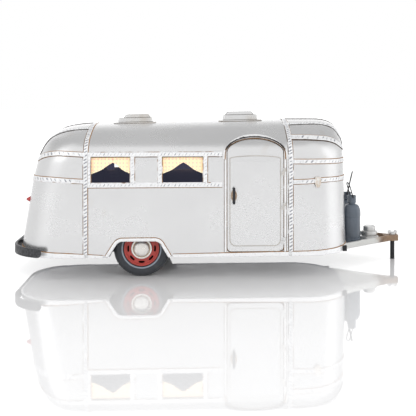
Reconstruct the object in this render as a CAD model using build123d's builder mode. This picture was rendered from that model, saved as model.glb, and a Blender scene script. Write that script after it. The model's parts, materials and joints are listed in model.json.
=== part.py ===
"""Tin display model of a riveted travel caravan, as separate sub-parts.

Frame: +X forward to the hitch, +Y to the far side, +Z up, door on the -Y side.
The origin lies on the floor, under the middle of the overall length.
All sizes are millimetres.
"""
import os
from math import atan2, cos, pi, radians, sin, sqrt

from build123d import *

os.makedirs("parts", exist_ok=True)

# ---------------------------------------------------------------- body shell
half_width = 72.0        # side sheet, outer face, from the centre plane
sheet = 1.0              # body sheet thickness
body_bottom = 20.5       # lower edge of the sides above the floor
rear_seam = -125.8       # joint between the rear cap and the middle shell
front_seam = 75.5        # joint between the middle shell and the front cap
rear_crest = 149.0       # roof height on the centre line at the rear seam
front_crest = 153.0      # and at the front seam
side_top = 113.0         # the sides are flat up to here
roof_corner_radius = 26.0
plan_corner_radius = 48.0
strip_proud = 0.85       # riveted strips stand this far off the sheet
strip_width = 4.1
seat_gap = 0.05          # between a strip and the sheet under it
corner_shares = (0.35, 0.7, 1.0)                    # levels of the caps on the corner arc
crown_shares = (0.18, 0.36, 0.54, 0.7, 0.84, 0.96)  # and on the crown arc
straight_levels = (60.0, 93.0)   # heights on the flat sides where the end walls turn
corner_width_share = 0.86   # the caps' plan corners take at most this share of their half-width
corner_length_share = 0.9   # and of their length
clip_reach = 90.0        # outlines on the XZ plane are carried this far to a side
cut_depth = 6.0          # cutting solids reach this far below the body
end_reach = 5.0          # and this far past a seam

# height, x of the end wall on the centre line
rear_profile = [(0.0, -201.0), (60.0, -191.1), (93.0, -185.6), (112.0, -180.8),
                (124.0, -175.6), (132.0, -171.0), (139.0, -165.2), (144.0, -158.2),
                (147.0, -147.5), (148.4, -136.0), (149.0, -129.0)]
front_profile = [(0.0, 139.5), (71.0, 137.2), (107.0, 136.2), (122.0, 135.6),
                 (130.0, 135.3), (137.0, 134.9), (143.0, 132.7), (147.0, 129.3),
                 (150.0, 124.6), (152.0, 118.4), (153.0, 110.5)]

# ------------------------------------------------------------ windows, strips
window_sill = 93.2
window_head = 119.1
# pane name, rear edge, front edge
windows = [("rear", -120.8, -82.1), ("middle", -51.4, -10.8)]
blank_panels = [(-78.2, -55.3), (-6.9, 14.0)]
grid_rear, grid_front = -123.6, 7.8
pane_corner = 1.2
curtain_inset = 1.2
curtain_thickness = 0.8
curtain_peak = 113.5     # where the two halves of a pair part
curtain_foot = 101.5
curtain_overlap = 2.0
curtain_header = 0.8     # its upper edge below the window head
# the far side's drawn drapes, each from its rear to its front edge, and their foot
far_drapes = {"rear": [(-122.8, -114.4), (-104.0, -80.1)], "middle": [(-53.4, -8.8)]}
drape_foot = 93.9

# name, cap, centre line of the belt as x and height
belts = [("rear_belt_low", "rear", [(-122.0, 94.8), (-141.0, 95.9), (-151.0, 96.4), (-161.0, 96.7),
                                    (-173.0, 96.4), (-190.0, 94.9)]),
         ("rear_belt_high", "rear", [(-122.0, 120.8), (-141.0, 121.9), (-151.5, 122.1), (-161.5, 121.1),
                                     (-168.4, 119.4), (-173.3, 117.4), (-177.0, 115.4), (-184.0, 111.8)]),
         ("front_belt_low", "front", [(72.0, 93.4), (94.4, 94.1), (110.2, 95.0), (128.5, 94.4),
                                      (142.0, 93.6)]),
         ("front_belt_mid", "front", [(72.0, 113.9), (94.4, 113.7), (104.8, 113.5), (116.0, 113.1),
                                      (128.0, 112.5), (142.0, 111.8)]),
         ("front_belt_high", "front", [(72.0, 136.7), (90.0, 136.6), (102.0, 136.0), (110.0, 135.4),
                                       (117.0, 134.2), (122.0, 132.6), (126.5, 130.0), (130.5, 127.2),
                                       (134.0, 124.6), (141.0, 120.5)])]
# outer edge of each cap's two side strips at the seam and at the end wall, lowest height
top_strips = {"rear": (36.3, 35.0, 118.2), "front": (32.6, 26.8, 126.4)}
# upper edge of the skirt strip as x and height
skirt_line = [(-204.0, 26.6), (-150.0, 25.2), (-129.0, 24.0), (-100.0, 22.6), (-45.0, 23.4),
              (65.0, 24.7), (142.0, 25.8)]

# ----------------------------------------------------------------------- door
door_rear, door_front = 12.7, 68.0
door_sill = 25.6
door_spring = 122.8      # the arched head starts here
door_rise = 12.5
door_corner = 4.0
door_gap = 0.8           # running gap round the leaf
leaf_proud = 0.3
frame_width = 2.0
drip_side = 3.8          # outer edge of the drip rail beyond the leaf
drip_foot, drip_spring, drip_rise = 116.4, 120.8, 19.0
drip_width = 2.0
drip_proud = 2.2
hinge_offset = 1.75      # hinge axis, out from the side sheet
hinge_radius = 0.8
hinge_pin = 0.4
hinge_plate = 2.2
hinge_sheet = 0.5
knuckle_play = 0.15
knuckle_length = 7.0
knuckle_heights = (36.0, 70.0, 104.0)
handle_x, handle_z = 19.1, 80.6
handle_plate = (6.0, 11.4, 0.8)
lever_size = (2.6, 16.5, 1.2)

# --------------------------------------------------------------------- wheels
axle_x = -72.0
tyre_radius = 27.5
tyre_width = 13.0
tyre_round = 3.6
rim_radius = 17.5
wheel_recess = 7.2       # tyre face behind the side sheet
rim_recess = 1.6
rim_disc = 1.6
rim_barrel = 1.3
slot_count = 8
slot_radius_pitch = 13.4
slot_size = (5.0, 2.2)
hubcap_radius = 10.25
hubcap_flange = 0.9
hubcap_dome_radius = 7.9
hubcap_height = 4.2
hub_radius = 4.4
hub_recess = 1.0         # hub behind the tyre's inner face
hub_cut = 0.6            # cavity of the hubcap beyond the axle's radius
axle_radius = 1.9
axle_clearance = 0.05
axle_proud = 1.2         # axle's end past the rim's disc
barrel_extra = 0.8       # the barrel's outer edge stands past the disc
dome_flat = 0.3          # left straight at the foot of the hubcap's dome
well_clearance = 3.5
well_sheet = 0.8
arch_top = 36.9          # opening height in the side sheet
arch_foot = (-104.4, -44.8)
arch_head = (-94.2, -54.3)
arch_round = 4.5
lip_width = 2.6
lip_proud = 1.1
floor_thickness = 1.0
floor_recess = 1.0

# --------------------------------------------------------------------- bumper
bumper_rear_gap = 2.25   # clear of the body's end wall
bumper_side_gap = 2.3    # and of its sides
bumper_thickness = 2.6
bumper_radius = 44.0
bumper_end = -169.0
bumper_bottom, bumper_top = 21.6, 30.2
bracket_y, bracket_width, bracket_height = 20.0, 7.0, 2.8

clasp_x, clasp_z = 102.5, 94.3
clasp_wide, clasp_tall, clasp_proud = 6.2, 8.2, 1.2
clasp_lug = 2.3          # radius of the lug under it

tail_lamp_y, tail_lamp_z = 35.0, 73.0
tail_lamp_radius, tail_lamp_tip = 3.4, -191.2
tail_lamp_nose = 0.9     # radius of its blunt tip
tail_lamp_base = 4.0     # straight foot of the lens
tail_lamp_cone = 4.3

# ----------------------------------------------------------------- roof vents
vent_corner = 3.0
vent_depth = 4.0         # solids start this far under the roof and are cut to it
vent_flange_height = 0.6
vent_half_widths = (13.5, 11.0, 8.4)
# name, rear and front end of flange, lower tier, upper tier, then the two tiers' heights
vents = [("rear_roof_vent", (-105.8, -60.8), (-101.2, -64.8), (-95.4, -67.0), 5.2, 8.7),
         ("front_roof_vent", (5.4, 52.0), (10.4, 47.4), (12.8, 43.8), 6.0, 9.4)]

# -------------------------------------------------------------------- drawbar
rail_bottom, rail_top = 20.2, 26.2
rail_width = 3.2
rail_spread = 47.0       # rail's centre line from the centre plane at the body
rail_root_x = 128.0
rail_nose_x, rail_nose_y = 192.0, 3.4
head_rear, head_half_width, head_nose_radius = 186.0, 5.2, 3.2
plate_thickness = 1.1
pin_x, pin_radius = 196.3, 2.35
pin_neck_radius = 1.8     # through the head, into the wing nut
nut_height, nut_radius = 2.6, 3.0
wing_reach, wing_height, wing_thickness = 5.2, 5.0, 1.5
wing_radius = 2.2
root_bracket = (4.4, 3.2, 5.4)   # reach off the sheet, width, height

# ----------------------------------------------------------------- water cans
can_x, can_y = 148.9, 12.5
can_radius = 9.2
can_side_top = 51.5
can_shoulder_top = 62.4
can_groove_radius = 3.8
can_neck_radius = 4.6
can_neck_bottom = 63.6
can_rim = 71.3
can_well_radius = 3.7
can_well_bottom = 55.0
# side, y, bail apex above its pivots, lean forward in degrees, turn about the can in degrees
bails = [("right", -can_y, 17.0, -17.0, 4.0), ("left", can_y, 26.0, 13.0, -12.0)]
bail_wire = 0.55
bail_pivot_z = 69.4
bail_side_gap = 0.35
bail_hole_clearance = 0.1
bail_pin_reach = 3.5     # inner end of the bent-in wire, from the can's axis
bail_bend = 1.2
bail_crown_flat = 0.2    # left straight on each side of the bail's round top

# ---------------------------------------------------------------- stepped cap
step_x = 170.8
step_tiers = [(10.4, 0.0), (10.2, 3.4), (8.9, 5.2), (8.4, 9.4), (6.9, 10.4), (6.5, 14.0), (5.4, 15.0)]


# ------------------------------------------------------------ shape functions
def crown_radius(crest):
    """Roof arc radius for a crest height, tangent to the two corner arcs."""
    rise = crest - side_top
    inset = half_width - roof_corner_radius
    return (inset ** 2 + rise ** 2 - roof_corner_radius ** 2) / (2 * (rise - roof_corner_radius))


def blend_angle(crest):
    """Angle of the surface normal where corner arc and crown arc meet."""
    centre = crest - crown_radius(crest)
    return atan2(side_top - centre, half_width - roof_corner_radius)


def hoop_wire_points(crest, grow):
    """Key points of the cross-section, grown outwards by grow."""
    radius = crown_radius(crest)
    centre = crest - radius
    theta = blend_angle(crest)
    mid = theta / 2
    corner = roof_corner_radius + grow
    inset = half_width - roof_corner_radius
    knee = ((radius + grow) * cos(theta), centre + (radius + grow) * sin(theta))
    bend = (inset + corner * cos(mid), side_top + corner * sin(mid))
    return knee, bend, crest + grow


def hoop_sketch(x, crest, grow, bottom):
    """Closed cross-section of the body at x."""
    knee, bend, top = hoop_wire_points(crest, grow)
    width = half_width + grow
    with BuildSketch(Plane.YZ.offset(x)) as sketch:
        with BuildLine():
            Polyline((-width, side_top), (-width, bottom), (width, bottom), (width, side_top))
            ThreePointArc((width, side_top), bend, knee)
            ThreePointArc(knee, (0, top), (-knee[0], knee[1]))
            ThreePointArc((-knee[0], knee[1]), (-bend[0], bend[1]), (-width, side_top))
        make_face()
    return sketch.sketch


def crest_at(x):
    """Roof height on the centre line of the middle shell."""
    share = (x - rear_seam) / (front_seam - rear_seam)
    return rear_crest + share * (front_crest - rear_crest)


def middle_solid(grow, bottom, reach=0.0):
    """Outside of the middle shell as a solid, grown by grow, longer by reach at each end."""
    sections = [hoop_sketch(x, crest_at(x), grow, bottom)
                for x in (rear_seam - reach, front_seam + reach)]
    with BuildPart() as solid:
        loft(sections, ruled=True)
    return solid.part


def value_at(points, key):
    """Value of a broken line, given as pairs of key and value."""
    for (key0, value0), (key1, value1) in zip(points, points[1:]):
        if key <= key1:
            return value0 + (value1 - value0) * (key - key0) / (key1 - key0)
    return points[-1][1]


def cap_levels(crest, bottom):
    """Height, half-width and normal angle of each level of an end cap."""
    theta = blend_angle(crest)
    radius = crown_radius(crest)
    inset = half_width - roof_corner_radius
    levels = [(z, half_width, 0.0) for z in (bottom, *straight_levels, side_top)]
    for share in corner_shares:
        angle = theta * share
        levels.append((side_top + roof_corner_radius * sin(angle),
                       inset + roof_corner_radius * cos(angle), angle))
    for share in crown_shares:
        angle = theta + (pi / 2 - theta) * share
        levels.append((crest - radius + radius * sin(angle), radius * cos(angle), angle))
    return levels


def level_sketch(height, start, tip, way, width, radius):
    """Plan outline of an end cap at one height: a U with rounded corners."""
    bend = radius * (1 - cos(pi / 4))
    with BuildSketch(Plane.XY.offset(height)) as sketch:
        with BuildLine():
            Polyline((tip - way * radius, -width), (start, -width), (start, width),
                     (tip - way * radius, width))
            ThreePointArc((tip - way * radius, width), (tip - way * bend, width - bend),
                          (tip, width - radius))
            Line((tip, width - radius), (tip, radius - width))
            ThreePointArc((tip, radius - width), (tip - way * bend, bend - width),
                          (tip - way * radius, -width))
        make_face()
    return sketch.sketch


def corner_radius(end, width, tip):
    """Plan radius of an end cap's corners where it has this half-width and end wall."""
    length = abs(tip - caps[end][0])
    return min(plan_corner_radius, corner_width_share * width, corner_length_share * length)


def face_x(end, height, y):
    """X of an end cap's straight-sided wall at a height, y off the centre plane."""
    profile, way = caps[end][2:]
    tip = value_at(profile, height)
    radius = corner_radius(end, half_width, tip)
    inset = max(abs(y) - (half_width - radius), 0.0)
    return tip - way * (radius - sqrt(radius ** 2 - inset ** 2))


def cap_solid(end, grow, bottom, reach=0.0):
    """Outside of an end cap as a solid, a stack of rounded plan outlines."""
    seam, crest, profile, way = caps[end]
    sections = []
    for height, width, angle in cap_levels(crest, bottom):
        tip = value_at(profile, height)
        radius = corner_radius(end, width, tip)
        out = grow * cos(angle)
        sections.append(level_sketch(height + grow * sin(angle), seam - way * reach,
                                     tip + way * out, way, width + out, max(radius + out, 0.5)))
    with BuildPart() as solid:
        loft(sections, ruled=True)
    return solid.part


caps = {"rear": (rear_seam, rear_crest, rear_profile, -1),
        "front": (front_seam, front_crest, front_profile, 1)}


def skin(outer, inner):
    """What one solid holds beyond another."""
    with BuildPart() as shell:
        add(outer)
        add(inner, mode=Mode.SUBTRACT)
    return shell.part


def clip(layer, sketch, side=0):
    """The share of a layer inside an outline on the XZ plane: side -1, 0 (both) or 1."""
    with BuildPart() as piece:
        add(layer)
        if side:
            extrude(sketch, amount=-side * clip_reach, mode=Mode.INTERSECT)
        else:
            extrude(sketch, amount=clip_reach, both=True, mode=Mode.INTERSECT)
    return piece.part


def save(solid, name):
    """Label a finished piece and write it."""
    solid.label = name
    export_step(solid, f"parts/{name}.step")


def side_box(x0, x1, z0, z1, radius=0.0):
    """Rectangle on the XZ plane."""
    with BuildSketch(Plane.XZ) as sketch:
        with Locations(((x0 + x1) / 2, (z0 + z1) / 2)):
            Rectangle(x1 - x0, z1 - z0)
        if radius:
            fillet(vertices(), radius)
    return sketch.sketch


def arch_sketch(grow):
    """Wheel opening with its two upper corners rounded."""
    with BuildSketch(Plane.XZ) as sketch:
        with BuildLine():
            Polyline((arch_foot[0] - grow, body_bottom - 1), (arch_head[0] - grow, arch_top + grow),
                     (arch_head[1] + grow, arch_top + grow), (arch_foot[1] + grow, body_bottom - 1),
                     close=True)
        make_face()
        fillet(vertices().group_by(Axis.Y)[-1], arch_round)
    return sketch.sketch


def door_sketch(grow, foot_grow):
    """Door outline: straight sides, elliptical head, rounded lower corners."""
    middle = (door_rear + door_front) / 2
    half = (door_front - door_rear) / 2 + grow
    foot = door_sill - foot_grow
    with BuildSketch(Plane.XZ) as sketch:
        with Locations((middle, (foot + door_spring) / 2)):
            Rectangle(2 * half, door_spring - foot)
        fillet(vertices().group_by(Axis.Y)[0], door_corner)
        with Locations((middle, door_spring)):
            Ellipse(half, door_rise + grow)
    return sketch.sketch


def drip_sketch(grow, foot):
    """Outline of the drip rail: short straight legs under an elliptical arch."""
    middle = (door_rear + door_front) / 2
    half = (door_front - door_rear) / 2 + drip_side + grow
    with BuildSketch(Plane.XZ) as sketch:
        with Locations((middle, drip_spring)):
            Ellipse(half, drip_rise + grow)
        add(side_box(middle - half, middle + half, foot, drip_spring))
        add(side_box(middle - half, middle + half, foot, drip_spring + 2 * drip_rise),
            mode=Mode.INTERSECT)
    return sketch.sketch


def skirt_band(x0, x1):
    """Band on the XZ plane between the body's lower edge and the skirt line."""
    knots = [(x, z) for x, z in skirt_line if x0 < x < x1]
    with BuildSketch(Plane.XZ) as sketch:
        with BuildLine():
            Polyline((x0, body_bottom), (x0, value_at(skirt_line, x0)), *knots,
                     (x1, value_at(skirt_line, x1)), (x1, body_bottom), close=True)
        make_face()
    return sketch.sketch


def ribbon(points, x0, x1):
    """Band one strip wide along a smooth line on the XZ plane, between two x."""
    with BuildSketch(Plane.XZ) as sketch:
        with BuildLine():
            Spline(*points)
        trace(line_width=strip_width)
        add(side_box(x0, x1, body_bottom, 2 * side_top), mode=Mode.INTERSECT)
    return sketch.sketch


# the bumper follows the body, and the hitch balances it about the origin
bumper_rear = value_at(rear_profile, bumper_bottom) - bumper_rear_gap - bumper_thickness
bumper_half_width = half_width + bumper_side_gap + bumper_thickness
tip_x = -bumper_rear

# --------------------------------------------------------------- body shells
deep = body_bottom - cut_depth
middle_outer = middle_solid(0.0, body_bottom)
middle_inner = middle_solid(-sheet, deep, reach=end_reach)
middle_seat = middle_solid(seat_gap, deep, reach=end_reach)
middle_strip = middle_solid(strip_proud, body_bottom)
cap_outer = {end: cap_solid(end, 0.0, body_bottom) for end in caps}
cap_inner = {end: cap_solid(end, -sheet, deep, reach=end_reach) for end in caps}
cap_seat = {end: cap_solid(end, seat_gap, deep, reach=end_reach) for end in caps}
cap_strip = {end: cap_solid(end, strip_proud, body_bottom) for end in caps}

door_opening = door_sketch(door_gap, door_gap)
window_openings = [side_box(x0, x1, window_sill, window_head, pane_corner) for _, x0, x1 in windows]

with BuildPart() as middle_shell:
    add(middle_outer)
    add(middle_inner, mode=Mode.SUBTRACT)
    for pane in window_openings:
        extrude(pane, amount=clip_reach, both=True, mode=Mode.SUBTRACT)
    extrude(arch_sketch(0.0), amount=clip_reach, both=True, mode=Mode.SUBTRACT)
    extrude(door_opening, amount=clip_reach, mode=Mode.SUBTRACT)
save(middle_shell.part, "middle_shell")
for end in caps:
    save(skin(cap_outer[end], cap_inner[end]), f"{end}_cap")


# ------------------------------------------------------------- seams and belts
def seam_hoop(x, crest, way):
    """Strip over the joint between the middle shell and a cap."""
    ends = (x - strip_width / 2, x + strip_width / 2)
    low = max(value_at(skirt_line, edge) for edge in ends) + seat_gap
    rings = [hoop_sketch(x - strip_width / 2, crest, grow, bottom)
             for grow, bottom in ((strip_proud, low), (seat_gap, deep))]
    with BuildPart() as hoop:
        extrude(rings[0], amount=strip_width)
        extrude(rings[1], amount=strip_width, mode=Mode.SUBTRACT)
        add(middle_seat, mode=Mode.SUBTRACT)
        add(cap_seat["rear" if way < 0 else "front"], mode=Mode.SUBTRACT)
    return hoop.part


for end, (seam, crest, profile, way) in caps.items():
    save(seam_hoop(seam, crest, way), f"{end}_seam_strip")
    layer = skin(cap_strip[end], cap_seat[end])
    start = seam + way * (strip_width / 2 + seat_gap)
    ends = sorted((start, value_at(profile, body_bottom) + way * strip_width))
    for name, cap, points in belts:
        if cap == end:
            save(clip(layer, ribbon(points, *ends)), name)
    save(clip(layer, skirt_band(*ends)), f"{end}_skirt")
    wide, narrow, low = top_strips[end]
    with BuildPart() as strips:
        add(layer)
        with BuildSketch(Plane.XY.offset(low)):
            for side in (-1, 1):
                with BuildLine():
                    Polyline((start, side * wide), (ends[way > 0], side * narrow),
                             (ends[way > 0], side * (narrow - strip_width)),
                             (start, side * (wide - strip_width)), close=True)
                make_face()
            with Locations((sum(ends) / 2, 0)):
                Rectangle(ends[1] - ends[0], strip_width)
        extrude(amount=crest, mode=Mode.INTERSECT)
    save(strips.part, f"{end}_top_strips")

# ------------------------------------------------ window grids, skirts, arches
middle_layer = skin(middle_strip, middle_seat)
shell_start = rear_seam + strip_width / 2 + seat_gap
shell_finish = front_seam - strip_width / 2 - seat_gap
with BuildSketch(Plane.XZ) as grid:
    add(side_box(grid_rear, grid_front, window_sill - strip_width, window_head + strip_width))
    for x0, x1 in blank_panels + [(x0, x1) for _, x0, x1 in windows]:
        add(side_box(x0, x1, window_sill, window_head, pane_corner), mode=Mode.SUBTRACT)
with BuildSketch(Plane.XZ) as skirt:
    add(skirt_band(shell_start, shell_finish))
    add(arch_sketch(lip_width + seat_gap), mode=Mode.SUBTRACT)
with BuildSketch(Plane.XZ) as lip:
    add(arch_sketch(lip_width))
    add(arch_sketch(0.0), mode=Mode.SUBTRACT)
    add(side_box(2 * rear_seam, front_seam, 0, body_bottom), mode=Mode.SUBTRACT)
lip_layer = skin(middle_solid(lip_proud, body_bottom), middle_seat)
for hand, side in (("right", -1), ("left", 1)):
    save(clip(middle_layer, grid.sketch, side), f"{hand}_window_frame")
    save(clip(middle_layer, skirt.sketch, side), f"{hand}_skirt")
    save(clip(lip_layer, lip.sketch, side), f"{hand}_wheel_arch")

# ------------------------------------------------------------------- curtains
curtain_face = half_width - sheet - curtain_inset
for hand, side in (("right", -1), ("left", 1)):
    for name, x0, x1 in windows:
        rear, front = x0 - curtain_overlap, x1 + curtain_overlap
        middle = (x0 + x1) / 2
        high = window_head - curtain_header
        with BuildPart() as curtain:
            with BuildSketch(Plane.XZ.offset(-side * curtain_face)):
                if side > 0:
                    for near, far in far_drapes[name]:
                        with Locations(((near + far) / 2, (drape_foot + high) / 2)):
                            Rectangle(far - near, high - drape_foot)
                else:
                    with BuildLine():
                        Polyline((rear, curtain_foot), (middle, curtain_peak), (front, curtain_foot),
                                 (front, high), (rear, high), close=True)
                    make_face()
            extrude(amount=side * curtain_thickness)
        save(curtain.part, f"{hand}_{name}_curtain")

# ----------------------------------------------------------------------- door
frame_ends = (door_rear - door_gap - frame_width, door_front + door_gap + frame_width)
frame_foot = max(value_at(skirt_line, x) for x in frame_ends) + seat_gap
with BuildSketch(Plane.XZ) as door_ring:
    add(side_box(*frame_ends, frame_foot, drip_foot - seat_gap))
    add(drip_sketch(-drip_width - seat_gap, drip_foot - frame_width))
    add(door_opening, mode=Mode.SUBTRACT)
save(clip(middle_layer, door_ring.sketch, -1), "door_frame")

with BuildSketch(Plane.XZ) as drip:
    add(drip_sketch(0.0, drip_foot))
    add(drip_sketch(-drip_width, drip_foot - frame_width), mode=Mode.SUBTRACT)
drip_layer = skin(middle_solid(drip_proud, body_bottom), middle_seat)
save(clip(drip_layer, drip.sketch, -1), "door_drip_rail")

hinge_x = door_front + door_gap / 2
hinge_y = -(half_width + hinge_offset)
leaf_layer = skin(middle_solid(leaf_proud, body_bottom), middle_inner)
with BuildPart() as door_leaf:
    add(clip(leaf_layer, door_sketch(0.0, 0.0), -1))
save(door_leaf.part, "door_leaf")

plate_wide, plate_tall, plate_deep = handle_plate
lever_wide, lever_tall, lever_deep = lever_size
handle_seat = Plane.XZ.offset(half_width + leaf_proud + seat_gap)
with BuildPart() as door_handle:
    with BuildSketch(handle_seat):
        with Locations((handle_x, handle_z)):
            Ellipse(plate_wide / 2, plate_tall / 2)
    extrude(amount=plate_deep)
    with BuildSketch(handle_seat.offset(plate_deep)):
        with Locations((handle_x, handle_z)):
            Circle(lever_wide / 2)
    extrude(amount=lever_deep)
    with BuildSketch(handle_seat.offset(plate_deep + lever_deep)):
        with Locations((handle_x, handle_z)):
            SlotOverall(lever_tall, lever_wide, rotation=90)
    extrude(amount=lever_deep)
save(door_handle.part, "door_handle")

# ---------------------------------------------------------- floor, wheel wells
wheel_face = half_width - wheel_recess
well_inner = wheel_face - tyre_width - well_clearance
well_top = 2 * tyre_radius + well_clearance
well_half = tyre_radius + well_clearance
well_outer = half_width - sheet - seat_gap
floor_z = body_bottom + floor_recess
with BuildPart() as floor_body:
    add(middle_inner)
    for end in caps:
        add(cap_inner[end])
with BuildPart() as floor_pan:
    add(floor_body.part)
    with BuildSketch(Plane.XY.offset(floor_z)):
        Rectangle(2 * tip_x, 2 * half_width)
    extrude(amount=floor_thickness, mode=Mode.INTERSECT)
    with BuildSketch(Plane.XY.offset(deep)):
        for side in (-1, 1):
            with Locations((axle_x, side * (well_inner + half_width) / 2)):
                Rectangle(2 * well_half, half_width - well_inner + seat_gap)
    extrude(amount=well_top, mode=Mode.SUBTRACT)
save(floor_pan.part, "floor_pan")

for hand, side in (("right", -1), ("left", 1)):
    deepness = well_outer - well_inner
    middle = side * (well_outer + well_inner) / 2
    with BuildPart() as well:
        with BuildSketch(Plane.XY.offset(floor_z)):
            with Locations((axle_x, middle)):
                Rectangle(2 * well_half - 2 * seat_gap, deepness)
        extrude(amount=well_top - floor_z)
        with BuildSketch(Plane.XY.offset(floor_z)):
            with Locations((axle_x, middle + side * well_sheet)):
                Rectangle(2 * (well_half - well_sheet), deepness)
        extrude(amount=well_top - floor_z - well_sheet, mode=Mode.SUBTRACT)
        with BuildSketch(Plane.XZ):
            with Locations((axle_x, tyre_radius)):
                Circle(axle_radius + seat_gap)
        extrude(amount=half_width, both=True, mode=Mode.SUBTRACT)
    save(well.part, f"{hand}_wheel_well")

# --------------------------------------------------------------- axle, wheels
rim_face = wheel_face - rim_recess
axle_end = rim_face + axle_proud
with BuildPart() as axle:
    with BuildSketch(Plane.XZ.offset(axle_end)):
        with Locations((axle_x, tyre_radius)):
            Circle(axle_radius)
    extrude(amount=-2 * axle_end)
save(axle.part, "axle")

for hand, side in (("right", -1), ("left", 1)):
    spin = Plane(origin=(axle_x, 0, tyre_radius), x_dir=(1, 0, 0), z_dir=(0, side, 0))
    with BuildPart() as tyre:
        with BuildSketch(spin.offset(wheel_face - tyre_width)):
            Circle(tyre_radius)
        extrude(amount=tyre_width)
        fillet(tyre.edges().filter_by(GeomType.CIRCLE), tyre_round)
        with BuildSketch(spin.offset(wheel_face - tyre_width)):
            Circle(rim_radius + seat_gap)
        extrude(amount=tyre_width, mode=Mode.SUBTRACT)
    save(tyre.part, f"{hand}_tyre")
    with BuildPart() as rim:
        with BuildSketch(spin.offset(wheel_face - tyre_width + rim_recess)):
            Circle(rim_radius)
            Circle(rim_radius - rim_barrel, mode=Mode.SUBTRACT)
        extrude(amount=tyre_width - 2 * rim_recess + barrel_extra)
        with BuildSketch(spin.offset(rim_face - rim_disc)):
            Circle(rim_radius - rim_barrel / 2)
            with PolarLocations(slot_radius_pitch, slot_count):
                SlotOverall(*slot_size, rotation=90, mode=Mode.SUBTRACT)
        extrude(amount=rim_disc)
        with BuildSketch(spin.offset(wheel_face - tyre_width + hub_recess)):
            Circle(hub_radius)
        extrude(amount=rim_face - wheel_face + tyre_width - hub_recess)
        with BuildSketch(spin.offset(wheel_face - tyre_width)):
            Circle(axle_radius + axle_clearance)
        extrude(amount=2 * tyre_width, mode=Mode.SUBTRACT)
    save(rim.part, f"{hand}_rim")
    with BuildPart() as hubcap:
        with BuildSketch(spin.offset(rim_face + seat_gap)):
            Circle(hubcap_radius)
        extrude(amount=hubcap_flange)
        with BuildSketch(spin.offset(rim_face + seat_gap + hubcap_flange)):
            Circle(hubcap_dome_radius)
        extrude(amount=hubcap_height - hubcap_flange)
        fillet(hubcap.edges().group_by(Axis.Y)[0 if side < 0 else -1],
               hubcap_height - hubcap_flange - dome_flat)
        with BuildSketch(spin.offset(rim_face)):
            Circle(axle_radius + hub_cut)
        extrude(amount=axle_proud + hub_cut, mode=Mode.SUBTRACT)
    save(hubcap.part, f"{hand}_hubcap")

# ------------------------------------------------------- bumper and tail lamps
def bumper_outline(grow):
    """Half-hoop of the bumper in plan, grown outwards by grow."""
    rear, half, radius = bumper_rear - grow, bumper_half_width + grow, bumper_radius + grow
    bend = radius * (1 - cos(pi / 4))
    with BuildSketch(Plane.XY.offset(bumper_bottom)) as sketch:
        with BuildLine():
            Polyline((rear + radius, -half), (rear + 2 * radius, -half), (rear + 2 * radius, half),
                     (rear + radius, half))
            ThreePointArc((rear + radius, half), (rear + bend, half - bend), (rear, half - radius))
            Line((rear, half - radius), (rear, radius - half))
            ThreePointArc((rear, radius - half), (rear + bend, bend - half), (rear + radius, -half))
        make_face()
    return sketch.sketch


with BuildPart() as rear_bumper:
    extrude(bumper_outline(0.0), amount=bumper_top - bumper_bottom)
    extrude(bumper_outline(-bumper_thickness), amount=bumper_top - bumper_bottom, mode=Mode.SUBTRACT)
    split(bisect_by=Plane.YZ.offset(bumper_end), keep=Keep.BOTTOM)
save(rear_bumper.part, "rear_bumper")

bracket_bottom = value_at(skirt_line, bumper_rear) + seat_gap
bracket_rear = bumper_rear + bumper_thickness + seat_gap
bracket_reach = bumper_rear_gap + bumper_thickness

for hand, side in (("right", -1), ("left", 1)):
    with BuildPart() as bracket:
        with BuildSketch(Plane.XY.offset(bracket_bottom)):
            with Locations((bracket_rear + bracket_reach / 2, side * bracket_y)):
                Rectangle(bracket_reach, bracket_width)
        extrude(amount=bracket_height)
        add(cap_seat["rear"], mode=Mode.SUBTRACT)
    save(bracket.part, f"{hand}_bumper_bracket")
    with BuildPart() as lamp:
        with BuildSketch(Plane.YZ.offset(tail_lamp_tip)):
            with Locations((side * tail_lamp_y, tail_lamp_z)):
                Circle(tail_lamp_nose)
        with BuildSketch(Plane.YZ.offset(tail_lamp_tip + tail_lamp_cone)):
            with Locations((side * tail_lamp_y, tail_lamp_z)):
                Circle(tail_lamp_radius)
        loft()
        with BuildSketch(Plane.YZ.offset(tail_lamp_tip + tail_lamp_cone)):
            with Locations((side * tail_lamp_y, tail_lamp_z)):
                Circle(tail_lamp_radius)
        extrude(amount=tail_lamp_base)
        add(cap_seat["rear"], mode=Mode.SUBTRACT)
    save(lamp.part, f"{hand}_tail_lamp")

# ----------------------------------------------------------------- roof vents
roof_slope = atan2(front_crest - rear_crest, front_seam - rear_seam)
for name, flange, lower, upper, lower_height, upper_height in vents:
    middle = sum(flange) / 2
    on_roof = Plane(origin=(middle, 0, crest_at(middle)), x_dir=(cos(roof_slope), 0, sin(roof_slope)),
                    z_dir=(-sin(roof_slope), 0, cos(roof_slope)))
    heights = (vent_flange_height, lower_height, upper_height)
    with BuildPart() as vent:
        for (rear, front), wide, height in zip((flange, lower, upper), vent_half_widths, heights):
            with BuildSketch(on_roof.offset(-vent_depth)):
                with Locations(((rear + front) / 2 - middle, 0)):
                    RectangleRounded(front - rear, 2 * wide, vent_corner)
            extrude(amount=vent_depth + height)
        add(middle_seat, mode=Mode.SUBTRACT)
    save(vent.part, name)

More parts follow.
